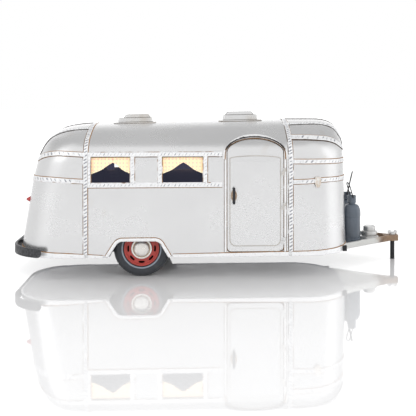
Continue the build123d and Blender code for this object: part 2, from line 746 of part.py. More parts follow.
# -------------------------------------------------------------------- drawbar
front_clear = cap_solid("front", strip_proud + seat_gap, 0.0, reach=end_reach)
with BuildPart() as drawbar:
    for side in (-1, 1):
        with BuildSketch(Plane.XY.offset(rail_bottom)):
            with BuildLine():
                Polyline((rail_root_x, side * (rail_spread + rail_width / 2)),
                         (rail_nose_x, side * (rail_nose_y + rail_width / 2)),
                         (rail_nose_x, side * (rail_nose_y - rail_width / 2)),
                         (rail_root_x, side * (rail_spread - rail_width / 2)), close=True)
            make_face()
        extrude(amount=rail_top - rail_bottom)
    with BuildSketch(Plane.XY.offset(rail_bottom)):
        with BuildLine():
            Polyline((rail_root_x, -rail_spread), (rail_nose_x, -rail_nose_y),
                     (rail_nose_x, rail_nose_y), (rail_root_x, rail_spread), close=True)
        make_face()
    extrude(amount=plate_thickness)
    with BuildSketch(Plane.XY.offset(rail_bottom)):
        with Locations(((head_rear + tip_x) / 2, 0)):
            Rectangle(tip_x - head_rear, 2 * head_half_width)
        fillet(vertices().group_by(Axis.X)[-1], head_nose_radius)
    extrude(amount=rail_top - rail_bottom)
    add(front_clear, mode=Mode.SUBTRACT)
    with BuildSketch(Plane.XY):
        with Locations((pin_x, 0)):
            Circle(pin_neck_radius + seat_gap)
    extrude(amount=2 * rail_top, mode=Mode.SUBTRACT)
save(drawbar.part, "drawbar")

with BuildPart() as hitch_pin:
    with BuildSketch(Plane.XY):
        with Locations((pin_x, 0)):
            Circle(pin_radius)
    extrude(amount=rail_bottom - seat_gap)
    with BuildSketch(Plane.XY):
        with Locations((pin_x, 0)):
            Circle(pin_neck_radius)
    extrude(amount=rail_top + seat_gap + nut_height)
save(hitch_pin.part, "hitch_pin")

with BuildPart() as wing_nut:
    with BuildSketch(Plane.XY.offset(rail_top + seat_gap)):
        with Locations((pin_x, 0)):
            Circle(nut_radius)
    extrude(amount=nut_height)
    with BuildSketch(Plane.XZ):
        for side in (-1, 1):
            with Locations((pin_x + side * (wing_reach - wing_radius),
                            rail_top + seat_gap + wing_height - wing_radius)):
                Circle(wing_radius)
    extrude(amount=wing_thickness / 2, both=True)
    with BuildSketch(Plane.XY.offset(rail_top)):
        with Locations((pin_x, 0)):
            Circle(pin_neck_radius + seat_gap)
    extrude(amount=2 * wing_height, mode=Mode.SUBTRACT)
save(wing_nut.part, "wing_nut")

# ----------------------------------------------------------- cans on the plate
can_floor = rail_bottom + plate_thickness + seat_gap
leg_y = can_neck_radius + bail_side_gap + bail_wire
for hand, y, apex, lean, turn in bails:
    upright = Plane(origin=(can_x, y, 0), x_dir=(cos(radians(turn)), sin(radians(turn)), 0),
                    z_dir=(0, 0, 1))
    with BuildPart(upright) as can:
        with BuildSketch(Plane.XZ) as wall:
            with BuildLine():
                Polyline((0, can_well_bottom), (0, can_floor), (can_radius, can_floor),
                         (can_radius, can_side_top))
                EllipticalCenterArc((can_groove_radius, can_side_top), can_radius - can_groove_radius,
                                    can_shoulder_top - can_side_top, start_angle=0, arc_size=90)
                Polyline((can_groove_radius, can_shoulder_top), (can_groove_radius, can_neck_bottom),
                         (can_neck_radius, can_neck_bottom), (can_neck_radius, can_rim),
                         (can_well_radius, can_rim), (can_well_radius, can_well_bottom),
                         (0, can_well_bottom))
            make_face()
        revolve(axis=Axis.Z)
        with BuildSketch(Plane.XZ) as holes:
            with Locations((0, bail_pivot_z)):
                Circle(bail_wire + bail_hole_clearance)
        extrude(amount=can_radius, both=True, mode=Mode.SUBTRACT)
    save(can.part.moved(Location(upright)), f"{hand}_can")
    with BuildPart() as bail:
        with BuildLine(Plane.YZ) as wire:
            FilletPolyline((bail_pin_reach, 0), (leg_y, 0), (leg_y, apex - bail_wire),
                           (-leg_y, apex - bail_wire), (-leg_y, 0), (-bail_pin_reach, 0),
                           radius=[bail_bend, leg_y - bail_crown_flat, leg_y - bail_crown_flat,
                                   bail_bend])
        with BuildSketch(Plane(origin=wire.line @ 0, z_dir=wire.line % 0)):
            Circle(bail_wire)
        sweep()
    place = Location((can_x, y, bail_pivot_z), (0, 0, turn)) * Location((0, 0, 0), (0, lean, 0))
    save(bail.part.moved(place), f"{hand}_can_bail")

with BuildPart() as stepped_cap:
    with BuildSketch(Plane.XZ):
        with BuildLine():
            Polyline((0, can_floor), *[(r, can_floor + z) for r, z in step_tiers],
                     (0, can_floor + step_tiers[-1][1]), close=True)
        make_face()
    revolve(axis=Axis.Z)
save(stepped_cap.part.moved(Location((step_x, 0, 0))), "stepped_cap")

bracket_long, bracket_wide, bracket_tall = root_bracket
root_y = rail_spread + rail_width
root_x = face_x("front", rail_bottom, root_y)
for hand, side in (("right", -1), ("left", 1)):
    with BuildPart() as root:
        with BuildSketch(Plane.XY.offset(rail_bottom)):
            with Locations((root_x, side * root_y)):
                Rectangle(2 * bracket_long, bracket_wide)
        extrude(amount=bracket_tall)
        add(drawbar.part, mode=Mode.SUBTRACT)
        add(front_clear, mode=Mode.SUBTRACT)
    save(root.part, f"{hand}_rail_bracket")

# ------------------------------------------------------------ clasp and hinges
clasp_layer = skin(cap_solid("front", strip_proud + clasp_proud, body_bottom),
                   cap_solid("front", strip_proud + seat_gap, deep, reach=end_reach))
with BuildSketch(Plane.XZ) as clasp:
    with Locations((clasp_x, clasp_z)):
        RectangleRounded(clasp_wide, clasp_tall, clasp_lug / 2)
    with Locations((clasp_x, clasp_z - clasp_tall / 2)):
        Circle(clasp_lug)
save(clip(clasp_layer, clasp.sketch, -1), "belt_clasp")

half_knuckle = knuckle_length / 2
hinge_reach = hinge_offset - leaf_proud - seat_gap
with BuildPart() as frame_hinges:
    for z in knuckle_heights:
        with BuildSketch(Plane.XY.offset(z + knuckle_play)):
            with Locations((hinge_x, hinge_y)):
                Circle(hinge_radius)
            with Locations((hinge_x + hinge_plate / 2, hinge_y + hinge_sheet / 2)):
                Rectangle(hinge_plate, hinge_sheet)
        extrude(amount=half_knuckle - knuckle_play)
        with BuildSketch(Plane.XY.offset(z)):
            with Locations((hinge_x, hinge_y)):
                Circle(hinge_pin + axle_clearance)
        extrude(amount=half_knuckle, mode=Mode.SUBTRACT)
save(frame_hinges.part, "frame_hinges")
with BuildPart() as door_hinges:
    for z in knuckle_heights:
        with BuildSketch(Plane.XY.offset(z - half_knuckle)):
            with Locations((hinge_x, hinge_y)):
                Circle(hinge_radius)
            with Locations((hinge_x - hinge_plate / 2, hinge_y + hinge_reach / 2)):
                Rectangle(hinge_plate, hinge_reach)
        extrude(amount=half_knuckle)
        with BuildSketch(Plane.XY.offset(z)):
            with Locations((hinge_x, hinge_y)):
                Circle(hinge_pin)
        extrude(amount=half_knuckle)
save(door_hinges.part, "door_hinges")
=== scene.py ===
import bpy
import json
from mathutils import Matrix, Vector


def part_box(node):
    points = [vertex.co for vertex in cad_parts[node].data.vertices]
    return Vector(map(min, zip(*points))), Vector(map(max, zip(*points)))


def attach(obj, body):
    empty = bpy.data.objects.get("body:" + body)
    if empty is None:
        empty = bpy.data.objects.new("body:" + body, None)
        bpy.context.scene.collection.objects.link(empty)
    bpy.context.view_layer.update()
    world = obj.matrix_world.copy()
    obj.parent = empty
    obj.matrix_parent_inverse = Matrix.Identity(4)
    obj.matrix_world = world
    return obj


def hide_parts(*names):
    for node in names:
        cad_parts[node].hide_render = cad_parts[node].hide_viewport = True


bl_info = {
    "name": "Tin Caravan Finisher",
    "version": (1, 0, 0),
    "blender": (4, 5, 0),
    "location": "3D View > Sidebar > Caravan",
    "description": "Dresses a tin display model of a travel caravan",
    "category": "Object",
}

import json
import math

import bmesh
import bpy
from bpy.props import FloatProperty, FloatVectorProperty, PointerProperty
from mathutils import Matrix, Vector, noise

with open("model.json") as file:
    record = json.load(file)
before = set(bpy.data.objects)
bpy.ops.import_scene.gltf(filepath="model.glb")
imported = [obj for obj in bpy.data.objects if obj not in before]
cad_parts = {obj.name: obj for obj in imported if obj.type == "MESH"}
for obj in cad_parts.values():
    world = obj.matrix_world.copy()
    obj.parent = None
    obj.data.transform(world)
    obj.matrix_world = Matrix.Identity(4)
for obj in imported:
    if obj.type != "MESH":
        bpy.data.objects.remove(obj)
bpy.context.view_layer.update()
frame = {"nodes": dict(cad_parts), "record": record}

MM = 0.001

# sizes of the pieces are in millimetres, those of the stage in metres

# body sections; a profile pairs a height with the x of the cap's tip there
half_width = 72.0
body_bottom = 20.5
side_top = 113.0
corner_arc = 26.0
rear_seam, front_seam = -125.8, 75.5
rear_crest, front_crest = 149.0, 153.0
rear_profile = [(0.0, -201.0), (60.0, -191.1), (93.0, -185.6), (112.0, -180.8), (124.0, -175.6),
                (132.0, -171.0), (139.0, -165.2), (144.0, -158.2), (147.0, -147.5), (148.4, -136.0),
                (149.0, -129.0)]
front_profile = [(0.0, 139.5), (71.0, 137.2), (107.0, 136.2), (122.0, 135.6), (130.0, 135.3),
                 (137.0, 134.9), (143.0, 132.7), (147.0, 129.3), (150.0, 124.6), (152.0, 118.4),
                 (153.0, 110.5)]
# seam, crest, profile and the way along x that each cap points
caps = {"rear": (rear_seam, rear_crest, rear_profile, -1),
        "front": (front_seam, front_crest, front_profile, 1)}
# a cap's plan corner, and how far it may take up the cap's width and length
plan_corner, corner_width_share, corner_length_share = 48.0, 0.86, 0.9
# shares of half a cap's outline along its side, round its corner and across its wall
side_share, bend_share, wall_share = 0.32, 0.46, 0.22

# strips; a belt's line pairs x with height
strip_width = 4.1
belts = [("rear_belt_low", "rear", [(-122.0, 94.8), (-141.0, 95.9), (-151.0, 96.4), (-161.0, 96.7),
                                    (-173.0, 96.4), (-190.0, 94.9)]),
         ("rear_belt_high", "rear", [(-122.0, 120.8), (-141.0, 121.9), (-151.5, 122.1), (-161.5, 121.1),
                                     (-168.4, 119.4), (-173.3, 117.4), (-177.0, 115.4), (-184.0, 111.8)]),
         ("front_belt_low", "front", [(72.0, 93.4), (94.4, 94.1), (110.2, 95.0), (128.5, 94.4),
                                      (142.0, 93.6)]),
         ("front_belt_mid", "front", [(72.0, 113.9), (94.4, 113.7), (104.8, 113.5), (116.0, 113.1),
                                      (128.0, 112.5), (142.0, 111.8)]),
         ("front_belt_high", "front", [(72.0, 136.7), (90.0, 136.6), (102.0, 136.0), (110.0, 135.4),
                                       (117.0, 134.2), (122.0, 132.6), (126.5, 130.0), (130.5, 127.2),
                                       (134.0, 124.6), (141.0, 120.5)])]
# ends of the flange, lower and upper tiers along x, then the heights of both tiers
vents = (("rear_roof_vent", (-105.8, -60.8), (-101.2, -64.8), (-95.4, -67.0), 5.2, 8.7),
         ("front_roof_vent", (5.4, 52.0), (10.4, 47.4), (12.8, 43.8), 6.0, 9.4))
# how worn, then how dark with painted shadow, the low and high edges of each strip are
strip_edges = {"rear_belt_low": ((0.45, 0.8), (0.1, 0.0)), "rear_belt_high": ((0.75, 0.7), (0.4, 0.0)),
               "front_belt_low": ((0.72, 0.75), (0.1, 0.0)), "front_belt_mid": ((0.9, 0.75), (0.0, 0.0)),
               "front_belt_high": ((1.05, 0.8), (0.85, 0.1)), "rear_seam": ((0.62, 0.85), (0.4, 0.0)),
               "front_seam": ((0.6, 0.65), (0.75, 0.2)), "upper_rail": ((0.75, 0.5), (0.6, 0.3)),
               "lower_rail": ((0.9, 0.3), (0.1, 0.0))}
# half-widths to the outside of the crown strips, at the seam and at the wall, then their lower end
top_strips = {"rear": (36.3, 35.0, 118.2), "front": (32.6, 26.8, 126.4)}
skirt_line = [(-204.0, 26.6), (-150.0, 25.2), (-129.0, 24.0), (-100.0, 22.6), (-45.0, 23.4),
              (65.0, 24.7), (142.0, 25.8)]
# panes, posts and rails of the windows, and the feet of the curtains
window_sill, window_head = 93.2, 119.1
windows = [("rear", -120.8, -82.1), ("middle", -51.4, -10.8)]
near_foot, near_rise, far_foot = 101.0, 12.3, 91.5
grid_posts = [(-123.6, -120.8), (-82.1, -78.2), (-55.3, -51.4), (-10.8, -6.9)]
grid_rear, grid_front = -123.6, 7.8
arch_gap = (-109.0, -40.2)

# door
door_rear, door_front, door_foot, door_spring, door_head = 12.7, 68.0, 25.6, 122.8, 135.3
panel_rear, panel_front, panel_foot, panel_spring, panel_head = 15.2, 65.1, 31.0, 117.0, 119.5

# wheels
axle_x, axle_z = -72.0, 27.5
axle = (axle_x, 0.0, axle_z)
tyre_radius, tyre_width, tyre_face = 27.5, 13.0, 64.8
rim_face = 63.2
slot_count, slot_radius, slot_width, slot_arc = 8, 13.25, 1.7, 26.0
arch_line = [(-104.6, 20.6), (-94.2, 36.9), (-54.3, 36.9), (-44.6, 20.6)]

# cans and the stepped cap on the drawbar
cans = [("right", -12.5), ("left", 12.5)]
can_x, can_floor = 148.9, 21.35
stepped_cap_x = 170.8


# ------------------------------------------------------------ the body's surface
def smooth_value(knots, key):
    """Value of a smooth monotone line through pairs of key and value."""
    if key <= knots[0][0]:
        return knots[0][1]
    if key >= knots[-1][0]:
        return knots[-1][1]
    i = max(n for n in range(len(knots) - 1) if knots[n][0] <= key)
    slopes = [(b[1] - a[1]) / (b[0] - a[0]) for a, b in zip(knots, knots[1:])]

    def knot_slope(n):
        if n in (0, len(knots) - 1):
            return slopes[min(n, len(slopes) - 1)]
        before, after = slopes[n - 1], slopes[n]
        return 0.0 if before * after <= 0 else 2 * before * after / (before + after)

    (k0, v0), (k1, v1) = knots[i], knots[i + 1]
    span = k1 - k0
    t = (key - k0) / span
    m0, m1 = knot_slope(i) * span, knot_slope(i + 1) * span
    return ((2 * t ** 3 - 3 * t ** 2 + 1) * v0 + (t ** 3 - 2 * t ** 2 + t) * m0
            + (3 * t ** 2 - 2 * t ** 3) * v1 + (t ** 3 - t ** 2) * m1)


def crown_arc(crest):
    """Roof arc radius for a crest height, tangent to the corner arcs."""
    rise, inset = crest - side_top, half_width - corner_arc
    return (inset ** 2 + rise ** 2 - corner_arc ** 2) / (2 * (rise - corner_arc))


def corner_turn(crest):
    """Angle of the surface normal where corner arc and crown arc meet."""
    return math.atan2(side_top - crest + crown_arc(crest), half_width - corner_arc)


def width_at(crest, z):
    """Half-width of the body's section at a height."""
    if z <= side_top:
        return half_width
    turn, arc = corner_turn(crest), crown_arc(crest)
    if z <= side_top + corner_arc * math.sin(turn):
        rise = (z - side_top) / corner_arc
        return half_width - corner_arc + corner_arc * math.sqrt(max(1 - rise * rise, 0.0))
    rise = (z - crest + arc) / arc
    return arc * math.sqrt(max(1 - rise * rise, 0.0))


def section_point(crest, share, low):
    """Half-width and height a share of the way from the side's foot to the crest."""
    turn, arc = corner_turn(crest), crown_arc(crest)
    runs = [side_top - low, corner_arc * turn, arc * (math.pi / 2 - turn)]
    way = share * sum(runs)
    if way <= runs[0]:
        return half_width, low + way
    if way <= runs[0] + runs[1]:
        angle = (way - runs[0]) / corner_arc
        return half_width - corner_arc * (1 - math.cos(angle)), side_top + corner_arc * math.sin(angle)
    angle = min(turn + (way - runs[0] - runs[1]) / arc, math.pi / 2)
    return arc * math.cos(angle), crest - arc + arc * math.sin(angle)


def crest_at(x):
    """Roof height on the centre line of the middle shell."""
    share = (x - rear_seam) / (front_seam - rear_seam)
    return rear_crest + share * (front_crest - rear_crest)


def cap_corner(end, width, tip):
    """Plan radius of a cap's corners at a level."""
    return min(plan_corner, corner_width_share * width, corner_length_share * abs(tip - caps[end][0]))


def cap_plan(end, z, width, share):
    """Point of a cap's plan outline, share 0 at the near seam, 1 at the far seam."""
    seam, _, profile, way = caps[end]
    tip = smooth_value(profile, z)
    arc = cap_corner(end, width, tip)
    side = -1 if share < 0.5 else 1
    part = 1 - abs(2 * share - 1)
    if part < side_share:
        return Vector((seam + (tip - way * arc - seam) * part / side_share, side * width, z))
    if part < side_share + bend_share:
        angle = (part - side_share) / bend_share * math.pi / 2
        return Vector((tip - way * arc * (1 - math.sin(angle)),
                       side * (width - arc * (1 - math.cos(angle))), z))
    return Vector((tip, side * (width - arc) * (1 - part) / wall_share, z))


def clear_share(a):
    """Share of a cap's outline, a little clear of the seam at both ends."""
    return 0.006 + 0.988 * a


def in_cap(end, x, y, z):
    """Whether a point lies inside a cap."""
    _, crest, profile, way = caps[end]
    if z >= crest:
        return False
    width = width_at(crest, z)
    tip = smooth_value(profile, z)
    arc = cap_corner(end, width, tip)
    along, off = way * (tip - x), width - abs(y)
    if along < 0 or off < 0:
        return False
    if along < arc and off < arc:
        return (arc - along) ** 2 + (arc - off) ** 2 <= arc ** 2
    return True


def cap_ray(end, y_at, low, share):
    """Point where a ray in the plane y_at(x), from the foot of the seam outwards, leaves a cap."""
    seam, _, _, way = caps[end]
    angle = share * math.pi / 2
    near, far = 0.0, 90.0
    for _ in range(26):
        mid = (near + far) / 2
        x, z = seam + way * mid * math.sin(angle), low + mid * math.cos(angle)
        if in_cap(end, x, y_at(x), z):
            near = mid
        else:
            far = mid
    x = seam + way * near * math.sin(angle)
    return Vector((x, y_at(x), low + near * math.cos(angle)))


def side_point(x, z, side):
    """Point on the middle shell's side."""
    return Vector((x, side * width_at(crest_at(x), z), z))


def line_value(points, x):
    """Height of a line through pairs of x and height, rounded at its knots."""
    return smooth_value(sorted(points), x)


# --------------------------------------------------------------- pieces and meshes
def finish_piece(name, bm, body, slot, replaced=(), coats=(), smooth=40.0, scale=True):
    """Object of one piece: in metres, in the finish of its slot or in other coats, shaded, riding
    on its body and standing for its nodes."""
    data = bpy.data.meshes.new(name)
    if scale:
        bmesh.ops.scale(bm, vec=(MM, MM, MM), verts=bm.verts)
    bm.to_mesh(data)
    bm.free()
    for finish in coats or (slot,):
        data.materials.append(finishes[finish])
    data.polygons.foreach_set("use_smooth", [True] * len(data.polygons))
    data.set_sharp_from_angle(angle=math.radians(smooth))
    piece = bpy.data.objects.new(name, data)
    bpy.context.scene.collection.objects.link(piece)
    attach(piece, body)
    if replaced:
        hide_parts(*replaced)
    return piece


def held(value):
    """Value held between nought and one."""
    return min(max(value, 0.0), 1.0)


def traced(place, steps):
    """Length of the middle line a place function draws."""
    return sum((place((i + 1) / steps, 0) - place(i / steps, 0)).length for i in range(steps))


def mark_points(bm, **marks):
    """Stores values on each point, for a finish to read."""
    for name, values in marks.items():
        layer = bm.verts.layers.float.new(name)
        for vert, value in zip(bm.verts, values):
            vert[layer] = value


# rows of a strip across it, in half-widths; the outer ones form the seam line and its turned rim
cross_steps = (-1.2, -1.17, -1.02, -0.98, -0.9, -0.7, -0.36, 0.0, 0.36, 0.7, 0.9, 0.98, 1.02, 1.17, 1.2)


def formed_strip(place, length, width, proud=0.85, pitch=3.5, depth=0.3, step=0.5, dimple_shade_strength=1.0, rim=0.75,
                 worn=(0.6, 0.6), soot=(0.0, 0.0)):
    """Pressed strip: a grid laid on the surface, its edges turned down onto a thin seam line and
    its face dimpled with slanting marks, which carry painted shade. Worn gives the rust, the next pair the
    black painted shadow, of the low and high edge."""
    along = max(int(length / step), 6)
    last, slope = len(cross_steps) - 1, 0.55
    bm = grid_mesh(along, last)
    seats = []
    for vert in bm.verts:
        b = cross_steps[round((vert.co.y + 0.5) * last)]
        if abs(b) > 1.01:
            b = math.copysign(1.0 + (abs(b) - 1.0) / 0.2 * rim * 2 / width, b)
        seats.append((vert.co.x + 0.5, b))
    for vert, (a, b) in zip(bm.verts, seats):
        vert.co = place(a, b)
    bmesh.ops.recalc_face_normals(bm, faces=bm.faces)
    bm.normal_update()
    out = bm.faces[len(bm.faces) // 2]
    centre = out.calc_center_median()
    inside = Vector((min(max(centre.x, -150.0), 105.0), 0, 85.0))
    if (centre - inside).dot(out.normal) < 0:
        bmesh.ops.reverse_faces(bm, faces=bm.faces)
        bm.normal_update()
    lifts, dips = [], []
    for vert, (a, b) in zip(bm.verts, seats):
        edge = abs(b)
        s = a * length - slope * b * width / 2
        s += 0.9 * noise.noise(Vector((s * 0.23, length, 0.3)))
        wave = 0.5 - 0.5 * math.cos(2 * math.pi * s / pitch)
        mark = max(0.0, (wave - 0.42) / 0.58) ** 1.3 * max(0.0, 1 - (b / 0.86) ** 4)
        mark *= 0.65 + 0.7 * noise.noise(Vector((s * 0.31, b, length)))
        if edge > 1.0:
            lift = 0.1 if edge < 1.0 + 0.95 * rim * 2 / width else -0.2
        elif edge > 0.95:
            lift = proud * 0.55
        elif edge > 0.8:
            lift = proud * 0.93
        else:
            lift = proud
        lifts.append(lift - depth * mark)
        # painted shade: each dimple's mark darkens the strip's colour, as strongly as the given share
        dips.append(mark * dimple_shade_strength if depth else 0.0)
    normals = [vert.normal.copy() for vert in bm.verts]
    for vert, normal, lift in zip(bm.verts, normals, lifts):
        vert.co += normal * lift
    marks = [(1.0 if abs(b) > 1.0 else 0.7 if abs(b) > 0.95 else 0.15 if abs(b) > 0.8 else 0.0, int(b > 0))
             for a, b in seats]
    mark_points(bm, edge=[mark * worn[high] for mark, high in marks],
                soot=[soot[high] for mark, high in marks], dip=dips)
    return bm


def grid_mesh(along, across):
    """A unit grid to be laid on a surface."""
    bm = bmesh.new()
    bmesh.ops.create_grid(bm, x_segments=along, y_segments=across, size=0.5)
    return bm


def join_meshes(parts):
    """One bmesh of several."""
    whole = parts[0]
    for part in parts[1:]:
        data = bpy.data.meshes.new("part")
        part.to_mesh(data)
        part.free()
        whole.from_mesh(data)
        bpy.data.meshes.remove(data)
    return whole


def thicken(piece, thickness, offset=-1.0):
    """Gives a sheet its thickness."""
    modifier = piece.modifiers.new("sheet", "SOLIDIFY")
    modifier.thickness = thickness * MM
    modifier.offset = offset
    modifier.use_even_offset = False
    return piece


def worked_copy(node, bevel=0.0, flat=0.5, split=35.0):
    """Merged copy of a CAD node's mesh with its edges broken."""
    bm = bmesh.new()
    bm.from_mesh(frame["nodes"][node].data)
    bmesh.ops.remove_doubles(bm, verts=bm.verts, dist=0.002 * MM)
    if flat:
        bmesh.ops.dissolve_limit(bm, angle_limit=math.radians(flat), verts=bm.verts, edges=bm.edges)
    if bevel:
        sharp = [e for e in bm.edges if len(e.link_faces) == 2
                 and e.calc_face_angle(0.0) > math.radians(split)]
        bmesh.ops.bevel(bm, geom=sharp, offset=bevel * MM, offset_type="OFFSET", affect="EDGES",
                        segments=2, profile=0.5, material=-1, clamp_overlap=True)
    bmesh.ops.triangulate(bm, faces=[f for f in bm.faces if len(f.verts) > 4])
    return bm


def turned(profile, centre, axis, steps):
    """Closed turned shape from a profile of radius and height, standing or lying towards a side."""
    bm = bmesh.new()
    verts = [bm.verts.new((r, 0.0, h)) for r, h in profile]
    edges = [bm.edges.new(pair) for pair in zip(verts, verts[1:])]
    bmesh.ops.spin(bm, geom=verts + edges, cent=(0, 0, 0), axis=(0, 0, 1), angle=2 * math.pi,
                   steps=steps, use_merge=True)
    bmesh.ops.remove_doubles(bm, verts=bm.verts, dist=1e-4)
    bmesh.ops.recalc_face_normals(bm, faces=bm.faces)
    turn = {"z": 0.0, "near": math.pi / 2, "far": -math.pi / 2}[axis]
    bmesh.ops.rotate(bm, cent=(0, 0, 0), matrix=Matrix.Rotation(turn, 3, "X"), verts=bm.verts)
    bmesh.ops.translate(bm, vec=centre, verts=bm.verts)
    return bm


def rounded(points, radius, steps):
    """Line with its inner corners rounded."""
    line = [Vector(points[0])]
    for before, corner, after in zip(points, points[1:], points[2:]):
        before, corner, after = Vector(before), Vector(corner), Vector(after)
        reach = min(radius, (before - corner).length / 2.2, (after - corner).length / 2.2)
        start = corner + (before - corner).normalized() * reach
        end = corner + (after - corner).normalized() * reach
        for i in range(steps + 1):
            t = i / steps
            line.append(start * (1 - t) ** 2 + corner * 2 * t * (1 - t) + end * t * t)
    line.append(Vector(points[-1]))
    return [(p.x, p.y) for p in line]


def path_place(points, side, shift=0.0, closed=False):
    """Place function of a band along a line on the side: share of its length, half-widths across."""
    line = [Vector(p) for p in points]
    if closed:
        line.append(line[0])
    runs = [0.0]
    for p, q in zip(line, line[1:]):
        runs.append(runs[-1] + (q - p).length)

    def at(way):
        way = min(max(way, 0.0), runs[-1] - 1e-6)
        i = max(n for n in range(len(runs) - 1) if runs[n] <= way)
        p, q = line[i], line[i + 1]
        return p + (q - p) * ((way - runs[i]) / (runs[i + 1] - runs[i]))

    def place(a, b, half=1.0):
        way = a * runs[-1]
        reach = 0.4
        low, high = way - reach, way + reach
        if closed:
            low, high = low % runs[-1], high % runs[-1]
        along = (at(high) - at(low)).normalized()
        spot = at(way) + Vector((-along.y, along.x)) * (b * half + shift)
        return side_point(spot.x, spot.y, side)

    return place, runs[-1]


def flat_band(place, length, lift):
    """Plain band on the side, lifted off the sheet, rust along its length and black with painted shadow from
    116 mm up.
    """
    bm = grid_mesh(max(int(length), 4), 2)
    for vert in bm.verts:
        vert.co = place(vert.co.x + 0.5, vert.co.y * 2)
    bmesh.ops.recalc_face_normals(bm, faces=bm.faces)
    if sum(f.normal.y for f in bm.faces) * sum(v.co.y for v in bm.verts) < 0:
        bmesh.ops.reverse_faces(bm, faces=bm.faces)
    bm.normal_update()
    normals = [v.normal.copy() for v in bm.verts]
    for vert, normal in zip(bm.verts, normals):
        vert.co += normal * lift
    # painted shadow: the band goes black towards its top
    mark_points(bm, edge=[1.0] * len(bm.verts), soot=[held((v.co.z - 116.0) / 10.0) for v in bm.verts],
                dip=[0.0] * len(bm.verts))
    return bm


# ---------------------------------------------------------------------- materials
def new_finish(name, colour, roughness, metallic=0.0, coat=0.0, coat_roughness=0.1):
    """Material with its plain values on the shader itself."""
    material = bpy.data.materials.new(name)
    material.use_nodes = True
    tree = material.node_tree
    shader = tree.nodes["Principled BSDF"]
    shader.inputs["Base Color"].default_value = (*colour, 1.0)
    shader.inputs["Roughness"].default_value = roughness
    shader.inputs["Metallic"].default_value = metallic
    shader.inputs["Coat Weight"].default_value = coat
    shader.inputs["Coat Roughness"].default_value = coat_roughness
    return material, tree, shader


def place_of(tree, scale=(1.0, 1.0, 1.0), centre=(0.0, 0.0, 0.0)):
    """Object coordinates, scaled."""
    where = tree.nodes.new("ShaderNodeTexCoord")
    mapping = tree.nodes.new("ShaderNodeMapping")
    mapping.inputs["Location"].default_value = centre
    mapping.inputs["Scale"].default_value = scale
    tree.links.new(where.outputs["Object"], mapping.inputs["Vector"])
    return mapping.outputs["Vector"]


def cloud(tree, vector, scale, detail=3.0, rough=0.55):
    """Noise value."""
    node = tree.nodes.new("ShaderNodeTexNoise")
    node.inputs["Scale"].default_value = scale
    node.inputs["Detail"].default_value = detail
    node.inputs["Roughness"].default_value = rough
    tree.links.new(vector, node.inputs["Vector"])
    return node.outputs["Fac"]


def spread(tree, value, low, high, out_low=0.0, out_high=1.0):
    """Maps a value's range, held at its ends."""
    node = tree.nodes.new("ShaderNodeMapRange")
    node.interpolation_type = "SMOOTHSTEP"
    for socket, number in (("From Min", low), ("From Max", high), ("To Min", out_low), ("To Max", out_high)):
        node.inputs[socket].default_value = number
    tree.links.new(value, node.inputs["Value"])
    return node.outputs["Result"]


def sums(tree, operation, a, b=0.0):
    """Math of one or two values, either of which may be a number."""
    node = tree.nodes.new("ShaderNodeMath")
    node.operation = operation
    for socket, value in zip(node.inputs, (a, b)):
        if isinstance(value, (int, float)):
            socket.default_value = value
        else:
            tree.links.new(value, socket)
    return node.outputs[0]


def tinted(tree, factor, a, b):
    """Mix of two colours by a factor."""
    node = tree.nodes.new("ShaderNodeMix")
    node.data_type = "RGBA"
    tree.links.new(factor, node.inputs[0])
    for socket, value in ((node.inputs[6], a), (node.inputs[7], b)):
        if isinstance(value, tuple):
            socket.default_value = (*value, 1.0)
        else:
            tree.links.new(value, socket)
    return node.outputs[2]


def attribute(tree, name):
    """Value kept on a piece's points."""
    node = tree.nodes.new("ShaderNodeAttribute")
    node.attribute_name = name
    return node.outputs["Fac"]


def drive(tree, shader, tone, roughness=None, metallic=None):
    """Links what sets the shader's colour, roughness and metallic value."""
    for socket, source in (("Base Color", tone), ("Roughness", roughness), ("Metallic", metallic)):
        if source is not None:
            tree.links.new(source, shader.inputs[socket])


def raised(tree, shader, height, distance, strength):
    """Bump from a height."""
    node = tree.nodes.new("ShaderNodeBump")
    node.inputs["Strength"].default_value = strength
    node.inputs["Distance"].default_value = distance
    tree.links.new(height, node.inputs["Height"])
    tree.links.new(node.outputs["Normal"], shader.inputs["Normal"])


def axis_value(tree, axis):
    """One of the object's coordinates."""
    where = tree.nodes.new("ShaderNodeTexCoord")
    parts = tree.nodes.new("ShaderNodeSeparateXYZ")
    tree.links.new(where.outputs["Object"], parts.inputs["Vector"])
    return parts.outputs[axis]


def facing_in(tree):
    """One on the faces that look into the cabin, nought outside."""
    where = tree.nodes.new("ShaderNodeTexCoord")
    shape = tree.nodes.new("ShaderNodeNewGeometry")
    middle = tree.nodes.new("ShaderNodeVectorMath")
    middle.operation = "SUBTRACT"
    middle.inputs[1].default_value = (-0.025, 0.0, 0.085)
    squeeze = tree.nodes.new("ShaderNodeVectorMath")
    squeeze.operation = "MULTIPLY"
    squeeze.inputs[1].default_value = (0.4, 1.0, 1.0)
    along = tree.nodes.new("ShaderNodeVectorMath")
    along.operation = "DOT_PRODUCT"
    tree.links.new(where.outputs["Object"], middle.inputs[0])
    tree.links.new(middle.outputs[0], squeeze.inputs[0])
    tree.links.new(squeeze.outputs[0], along.inputs[0])
    tree.links.new(shape.outputs["Normal"], along.inputs[1])
    return spread(tree, along.outputs["Value"], 0.004, -0.004)


